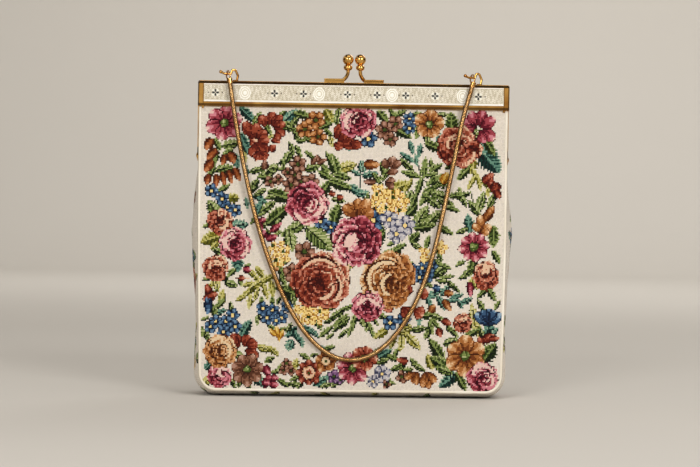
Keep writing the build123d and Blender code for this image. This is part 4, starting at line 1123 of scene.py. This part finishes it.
def gussetLine():
    # The line that the piping follows, from one top corner round to the other, with its outward direction.
    corner = part["panelCorner"]
    spots = [(sideAt(z), z, 1.0, 0.0) for z in np.arange(146.0, part["pipingHeight"] + corner, -gusset["stitch"])]
    middleX = sideAt(part["pipingHeight"] + corner) - corner
    middleZ = part["pipingHeight"] + corner
    for turn in np.linspace(0, pi / 2, int(corner * pi / 2 / gusset["stitch"]) + 1):
        spots.append((middleX + corner * cos(turn), middleZ - corner * sin(turn), cos(turn), -sin(turn)))
    for x in np.arange(middleX - gusset["stitch"], 0, -gusset["stitch"]):
        spots.append((x, part["pipingHeight"], 0.0, -1.0))
    spots = np.array(spots)
    other = spots[::-1] * (-1, 1, -1, 1)
    return np.concatenate([spots, other])


def makeGusset():
    line = gussetLine()
    count, wide = len(line), gusset["wide"]
    stations = np.array(gusset["stations"])[::-1]
    z = line[:, 1]
    half = depthAt(z) - 0.8
    bottom = z < 14.4
    half = np.where(bottom, np.minimum(half, depthAt(4.4) - 0.8), half)
    swell = np.interp(z, stations[:, 0], stations[:, 1])
    swell = np.where(bottom, 4.4, swell)
    flat = np.interp(z, stations[:, 0], stations[:, 2])
    flat = np.where(bottom, 15.0, flat)
    share = np.linspace(-1, 1, wide + 1)
    power = 1 / np.clip(1 - flat / half, 0.22, 0.8)
    rise = (1 - np.abs(share)[None, :] ** power[:, None]) ** 0.75
    run = np.arange(count)
    ripple = 0.35 * np.sin(run / 9.0)[:, None] * np.sin(pi * (share + 1) * 1.5)[None, :] * (1 - share ** 2)[None, :]
    ripple = ripple * np.clip(1 - np.abs(line[:, 3]), 0.0, 1)[:, None]
    out = (swell[:, None] + ripple) * rise
    points = np.zeros((count, wide + 1, 3))
    points[..., 0] = line[:, 0, None] + line[:, 2, None] * out
    points[..., 1] = share[None, :] * half[:, None]
    points[..., 2] = np.maximum(line[:, 1, None] + line[:, 3, None] * out, 0.02)
    quads = gridQuads(count, wide + 1)[1]
    chart = Chart(wide, count - 1, 11)
    paintGusset(chart)
    piece = makeMesh("gussetCloth", points.reshape(-1, 3), quads[:, ::-1], needlework)
    putTintAndShade(piece, "CORNER", np.repeat(linearArray(chart.colour.reshape(-1, 3)), 4, axis=0))
    putWeave(piece, [(0, 1, 0), (1, 1, 0), (1, 0, 0), (0, 0, 0)])
    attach(piece, "bag")
    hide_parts("gusset")
    print("gusset", len(quads))


def paintGusset(chart):
    # A trail of flowers and leaves along the middle of the strip.
    rng = chart.random
    middle = chart.across / 2
    flowers = ["wine", "rust", "blue", "amber", "mauve", "gold", "violet"]
    along = 14.0
    turn = 0
    while along < chart.up - 12:
        fromEnd = min(along, chart.up - along)
        room = 5 + min(13.0, fromEnd * 0.09)
        x = middle + room * 0.45 * sin(turn * 1.9)
        kind = flowers[turn % len(flowers)]
        for k in range(5):
            angle = 360 * rng.random()
            chart.leaf(x + 0.9 * room * cos(radians(angle)), along + 0.8 * room * sin(radians(angle)),
                       4.5 + 3 * rng.random(), angle, 0.42, kind=("green", "green", "teal", "lime")[k % 4])
        if kind in ("wine", "rust", "amber"):
            chart.rose(x, along, 6 + 3.2 * (room > 9), kind, 40 * turn,
                       rings=((0.66, 0.40, 6), (0.38, 0.36, 4), (0.12, 0.24, 2)))
        else:
            for away in (-4.2, 4.2):
                chart.small(x + away, along + away * 0.4, 4.8, 5, 20 * turn, kind, "gold" if kind != "gold" else "green")
            chart.small(x + 1, along - 5.5, 4.6, 5, 10, kind, "gold" if kind != "gold" else "green")
        along += 17 + 4 * rng.random()
        turn += 1


makeGusset()


# Piping: satin over cord, down both sides and along the bottom of each panel
piping = {"radius": 1.1, "step": 1.2, "sides": 12}


def pipingPath(facing):
    corner = part["panelCorner"]
    spots = [(sideAt(z), z) for z in np.arange(180.6, part["pipingHeight"] + corner, -piping["step"])]
    middleX = sideAt(part["pipingHeight"] + corner) - corner
    middleZ = part["pipingHeight"] + corner
    for turn in np.linspace(0, pi / 2, 14):
        spots.append((middleX + corner * cos(turn), middleZ - corner * sin(turn)))
    for x in np.arange(middleX - piping["step"], -0.01, -piping["step"]):
        spots.append((x, part["pipingHeight"]))
    spots = np.array(spots)
    spots = np.concatenate([spots, spots[::-1] * (-1, 1)])
    gap = np.concatenate([[1], np.linalg.norm(np.diff(spots, axis=0), axis=1)])
    spots = spots[gap > 0.2]
    y = facing * (part["panelThickness"] / 2 - depthAt(spots[:, 1]))
    return np.stack([spots[:, 0], y, spots[:, 1]], 1)


def makePiping(name, facing):
    path = pipingPath(facing)
    run = np.arange(len(path))
    radii = piping["radius"] * (1 + 0.035 * np.sin(run / 2.3) + 0.02 * np.sin(run / 0.9))
    piece = tube(name, path, radii, piping["sides"], pipingSatin)
    # Painted light and shade: brighter where it faces out, as a painted highlight, and brown painted shade where it
    # meets the cloths
    points = np.array([v.co[:] for v in piece.data.vertices]) / mm
    middle = np.repeat(path, piping["sides"], axis=0)
    facing = -(points - middle)[:, 1] * facing / piping["radius"]
    tone = np.clip(0.45 + 0.8 * facing, 0.38, 1.0)[:, None] * (1.0, 0.97, 0.92)
    tone = np.where(facing[:, None] > 0.55, 1.0, tone)
    putTintAndShade(piece, "POINT", linearArray(tone))
    return piece


def makePipings():
    piece = makePiping("frontPiping", 1)
    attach(piece, "bag")
    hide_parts("front_piping")
    piece = makePiping("backPiping", -1)
    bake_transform(piece)
    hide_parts("back_piping", "back_piping_top")
    print("piping")


makePipings()


# Lining: satin walls inside, with a slip pocket on the back wall
lining = {"inset": 2.3, "sideInset": 3.6, "low": 3.2, "top": 182.5, "sideTop": 147.0}


def liningWall(name, facing, top):
    # One wall, with soft upright folds that fade towards the frame.
    across, up = 96, 90
    z = np.linspace(9.0, top, up + 1)[:, None] + np.zeros(across + 1)[None, :]
    share = np.linspace(-1, 1, across + 1)[None, :]
    width = np.minimum(sideAt(z) - lining["sideInset"], np.where(z > 148, 93.4, 200))
    x = share * width
    fade = np.clip((top - z) / 60, 0, 1) * (1 - share ** 8)
    fold = 0.45 * np.sin(x / 6.1 + 0.8 * np.sin(z / 23)) + 0.3 * np.sin(x / 15.0 + z / 19)
    y = -facing * (depthAt(z) - lining["inset"] - 0.35 - fold * fade)
    points = np.stack([x, y, z], -1).reshape(-1, 3)
    quads = gridQuads(up + 1, across + 1)[1]
    if facing > 0:
        quads = quads[:, ::-1]
    return makeMesh(name, points, quads, liningSatin)


def makeLining():
    wall = liningWall("liningFront", 1, lining["top"])
    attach(wall, "bag")
    back = liningWall("liningBack", -1, lining["top"])
    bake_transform(back)
    # Sides and bottom, as one strip that joins the two walls
    corner = 12.0
    spots = [(float(sideAt(z)) - lining["sideInset"], z) for z in np.arange(lining["sideTop"], 9 + corner, -2.5)]
    middleX = float(sideAt(9 + corner)) - lining["sideInset"] - corner
    for turn in np.linspace(0, pi / 2, 10):
        spots.append((middleX + corner * cos(turn), 9 + corner - corner * sin(turn)))
    spots += [(x, 9.0) for x in np.linspace(middleX, 0, 30)[1:]]
    spots = np.array(spots)
    spots = np.concatenate([spots, (spots * (-1, 1))[::-1][1:]])
    wide = 16
    share = np.linspace(-1, 1, wide + 1)
    half = depthAt(spots[:, 1]) - lining["inset"] - 0.35
    low = np.clip((21 - spots[:, 1]) / 12, 0, 1)
    drop = (9.0 - lining["low"]) * low[:, None] * (1 - np.abs(share)[None, :] ** 6)
    points = np.zeros((len(spots), wide + 1, 3))
    points[..., 0] = spots[:, 0, None]
    points[..., 1] = share[None, :] * half[:, None]
    points[..., 2] = spots[:, 1, None] - drop
    quads = gridQuads(len(spots), wide + 1)[1]
    strip = makeMesh("liningSides", points.reshape(-1, 3), quads, liningSatin)
    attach(strip, "bag")
    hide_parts("lining", "lining_back_top")
    makePocket()
    print("lining")


def makePocket():
    # The pocket's cloth stands off the back wall and closes onto it at its edges.
    across, up = 60, 44
    x = np.linspace(-42, 42, across + 1)[None, :] + np.zeros(up + 1)[:, None]
    z = np.linspace(42, 104, up + 1)[:, None] + np.zeros(across + 1)[None, :]
    edge = np.minimum(np.clip((42 - np.abs(x)) / 4, 0, 1), np.clip((z - 42) / 4, 0, 1))
    stand = 0.35 + 1.2 * edge * (3 - 2 * edge) * edge + 0.12 * np.sin(x / 5) * edge
    y = depthAt(z) - lining["inset"] - 0.7 - stand
    face = np.stack([x, y, z], -1).reshape(-1, 3)
    quads = gridQuads(up + 1, across + 1)[1]
    piece = makeMesh("slipPocket", face, quads, liningSatin)
    thick = piece.modifiers.new("cloth", "SOLIDIFY")
    thick.thickness = 0.0005
    thick.offset = 1.0
    bpy.context.view_layer.objects.active = piece
    with bpy.context.temp_override(object=piece, active_object=piece, selected_objects=[piece]):
        bpy.ops.object.modifier_apply(modifier="cloth")
    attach(piece, "bag")
    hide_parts("slip_pocket")


makeLining()


# Enamelled bands: engraved all over, with ringed medallions and pierced crosses
band = {"half": 94.3, "middle": 189.4, "height": 11.2, "face": 6.55, "step": 0.25, "engrave": 0.10,
        "crosses": (-87.1, -50.0, -31.8, -4.1, 14.5, 32.5, 51.0, 78.3), "medallions": (-68.6, -22.0, 23.9, 68.3)}


def makeBand(name, facing):
    across = int(2 * band["half"] / band["step"])
    up = int(band["height"] / band["step"])
    x = np.linspace(-band["half"], band["half"], across + 1)[None, :] + np.zeros(up + 1)[:, None]
    v = np.linspace(-band["height"] / 2, band["height"] / 2, up + 1)[:, None] + np.zeros(across + 1)[None, :]
    # Fine slanting cuts and small scrolled leaves cover the ground.
    cuts = np.sin((x + v) * 5.2) * 0.5 + np.sin((x - v) * 5.2) * 0.5
    scroll = np.sin(x * 2.3 + 2.2 * np.sin(v * 1.9 + x * 0.3)) * np.cos(v * 2.6 + np.sin(x * 1.6))
    high = 0.55 * cuts + 0.8 * scroll + 0.15
    tone = np.clip(high * 0.5 + 0.5, 0, 1)[..., None]
    tint = (0.64, 0.59, 0.47) + tone * (np.array((0.94, 0.92, 0.87)) - (0.64, 0.59, 0.47))
    depth = band["engrave"] * np.clip(high * 0.5 + 0.5, 0, 1)
    for place in band["medallions"]:
        r = np.hypot((x - place) * 1.08, v * 0.92)
        inside = r < 3.9
        rings = np.where((r < 1.35) | ((r > 1.9) & (r < 2.7)) | (r > 3.2), 1.0, 0.15)
        depth = np.where(inside, 0.16 * rings + 0.05, depth)
        ring = (0.80, 0.76, 0.65) + rings[..., None] * (np.array((0.97, 0.965, 0.93)) - (0.80, 0.76, 0.65))
        tint = np.where(inside[..., None], ring, tint)
    for place in band["crosses"]:
        dx = x - place
        star = np.hypot(dx, v)
        leafy = np.abs(np.sin(2 * np.arctan2(v, dx)))
        tint = np.where((star < 2.7)[..., None] & (leafy > 0.7)[..., None], (0.93, 0.92, 0.86), tint)
        for px, pv in ((1.3, 0), (-1.3, 0), (0, 1.3), (0, -1.3)):
            along = np.abs(dx - px) if px else np.abs(v - pv)
            aside = np.abs(v) if px else np.abs(dx)
            hole = np.hypot(along / 0.95, aside / 0.62) < 1
            depth = np.where(hole, -0.28, depth)
            # Painted shade: the holes are coloured near-black for the shade inside them
            tint = np.where(hole[..., None], (0.03, 0.02, 0.01), tint)
        for px in (-4.3, 4.3):
            dot = np.hypot(dx - px, v) < 0.42
            depth = np.where(dot, -0.18, depth)
            tint = np.where(dot[..., None], (0.30, 0.25, 0.17), tint)
    low = band["height"] / 2
    border = (v > low - 0.75) | (v < 1.1 - low)
    line = ((v > low - 1.0) | (v < 1.4 - low)) & ~border
    depth = np.where(border, 0.25, np.where(line, -0.02, depth))
    tint = np.where(border[..., None], (0.96, 0.95, 0.93), np.where(line[..., None], (0.72, 0.66, 0.50), tint))
    ends = np.abs(x) > band["half"] - 0.5
    depth = np.where(ends, 0.05, depth)
    y = -(band["face"] + depth)
    z = band["middle"] + v
    points = np.stack([x, y, z], -1).reshape(-1, 3)
    number, quads = gridQuads(up + 1, across + 1)
    rim = np.concatenate([number[0, :-1], number[:-1, -1], number[-1, :0:-1], number[:0:-1, 0]])
    under = len(points) + np.arange(len(rim))
    inner = points[rim].copy()
    inner[:, 1] = -5.82
    points = np.concatenate([points, inner])
    walls = [(rim[(k + 1) % len(rim)], rim[k], under[k], under[(k + 1) % len(rim)]) for k in range(len(rim))]
    faces = [tuple(q) for q in quads] + walls + [tuple(under[::-1])]
    if facing < 0:
        points = points * (-1, -1, 1)
    piece = makeMesh(name, points, faces, enamel)
    flat = tint.reshape(-1, 3)
    flat = np.concatenate([flat, flat[rim]])
    putTintAndShade(piece, "POINT", linearArray(flat))
    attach(piece, "bag" if facing > 0 else "back_half")
    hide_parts("front_band" if facing > 0 else "back_band")


makeBand("frontBandEnamel", 1)
makeBand("backBandEnamel", -1)
print("bands")


# Stage and light
stageLook = {"paper": (0.80, 0.782, 0.752), "curve": 0.9, "wall": 4.0, "side": 7.0}


def makeStage():
    paint = Paint("stagePaper")
    mottle = paint.noise(3.0, 3.0)
    paint.put("Base Color", paint.mix(mottle * 0.25, stageLook["paper"], (0.77, 0.75, 0.715)))
    paint.put("Roughness", 0.9)
    paint.put("Specular IOR Level", 0.1)
    bend = stageLook["curve"]
    start = stageLook["wall"] - bend
    rows = [(-4.0, 0.0), (start, 0.0)]
    for turn in np.linspace(0, pi / 2, 32)[1:]:
        rows.append((start + bend * sin(turn), bend - bend * cos(turn)))
    rows.append((stageLook["wall"], 4.5))
    points = [(side * stageLook["side"], y, z) for y, z in rows for side in (-1, 1)]
    faces = [(2 * k, 2 * k + 1, 2 * k + 3, 2 * k + 2) for k in range(len(rows) - 1)]
    makeMesh("stageSweep", np.array(points) / mm, faces, paint.material)


def areaLight(name, place, aim, size, power, colour=(1, 1, 1)):
    light = bpy.data.lights.new(name, "AREA")
    light.shape = "RECTANGLE"
    light.size, light.size_y = size
    light.energy = power
    light.color = colour
    lamp = bpy.data.objects.new(name, light)
    bpy.context.scene.collection.objects.link(lamp)
    lamp.location = place
    lamp.rotation_mode = "QUATERNION"
    lamp.rotation_quaternion = (Vector(aim) - Vector(place)).to_track_quat("-Z", "Y")


def makeWorld():
    # A soft room of light. Reflections see a dark studio with a pale card in front and pale strips above.
    world = bpy.data.worlds.new("surround")
    bpy.context.scene.world = world
    world.use_nodes = True
    tree = world.node_tree
    soft = tree.nodes["Background"]
    soft.inputs["Color"].default_value = (*linear(room["tint"]), 1.0)
    soft.inputs["Strength"].default_value = room["strength"]
    way = addNode(tree, "ShaderNodeTexCoord", output="Generated")
    ahead = addNode(tree, "ShaderNodeSeparateXYZ", {}, {0: way}, output=1)
    height = addNode(tree, "ShaderNodeSeparateXYZ", {}, {0: way}, output=2)
    aside = addNode(tree, "ShaderNodeSeparateXYZ", {}, {0: way}, output=0)
    aside = aside.act("ABSOLUTE", aside)
    grey = [(place, (value, value * 0.97, value * 0.92)) for place, value in room["strips"]]
    strips = addNode(tree, "ShaderNodeValToRGB", {"stops": grey}, {0: height.between(-0.2, 0.9)})
    level = height.between(-0.30, -0.20) * height.between(0.50, 0.40)
    card = ahead.between(*room["card"]) * height.between(0.20, 0.12)
    sides = aside.between(*room["side"]) * aside.between(0.93, 0.86) * level
    pale = card.act("MAXIMUM", card, sides)
    values = {0: pale, 6: strips, 7: (*linear(room["cardTone"]), 1.0)}
    gleam = addNode(tree, "ShaderNodeMix", {"data_type": "RGBA"}, values, output=2)
    glossy = addNode(tree, "ShaderNodeLightPath", output="Is Glossy Ray")
    shine = addNode(tree, "ShaderNodeBackground", {}, {"Color": gleam, "Strength": 1.0})
    both = addNode(tree, "ShaderNodeMixShader", {}, {0: glossy, 1: Sock(tree, soft.outputs[0]), 2: shine})
    tree.links.new(both.socket, tree.nodes["World Output"].inputs["Surface"])


room = {"cardTone": (0.84, 0.81, 0.76), "tint": (0.94, 0.915, 0.885), "strength": 0.46,
        "card": (-0.955, -0.985), "side": (0.42, 0.52),
        "strips": [(0.0, 0.45), (0.12, 0.35), (0.18, 0.02), (0.60, 0.015), (0.66, 0.8), (0.80, 0.7),
              (0.84, 0.03)]}
makeStage()
warm = (1.0, 0.985, 0.965)
areaLight("rightLight", (1.05, -1.9, 1.0), (0, 0, 0.1), (0.7, 0.7), 23, warm)
areaLight("leftLight", (-0.80, -1.95, 0.95), (0, 0, 0.1), (0.6, 0.6), 15, warm)
areaLight("topLight", (0.2, -0.3, 1.9), (0.1, 0.1, 0.1), (1.4, 0.6), 8, warm)
areaLight("backLight", (0.9, 1.5, 1.3), (0, 0, 0.1), (0.9, 0.7), 7, warm)
areaLight("wallLight", (0.7, 2.0, 1.7), (0.5, 4.0, 0.35), (3.4, 0.5), 34, warm)
makeWorld()
bpy.context.scene.view_settings.view_transform = "Standard"
print("stage")
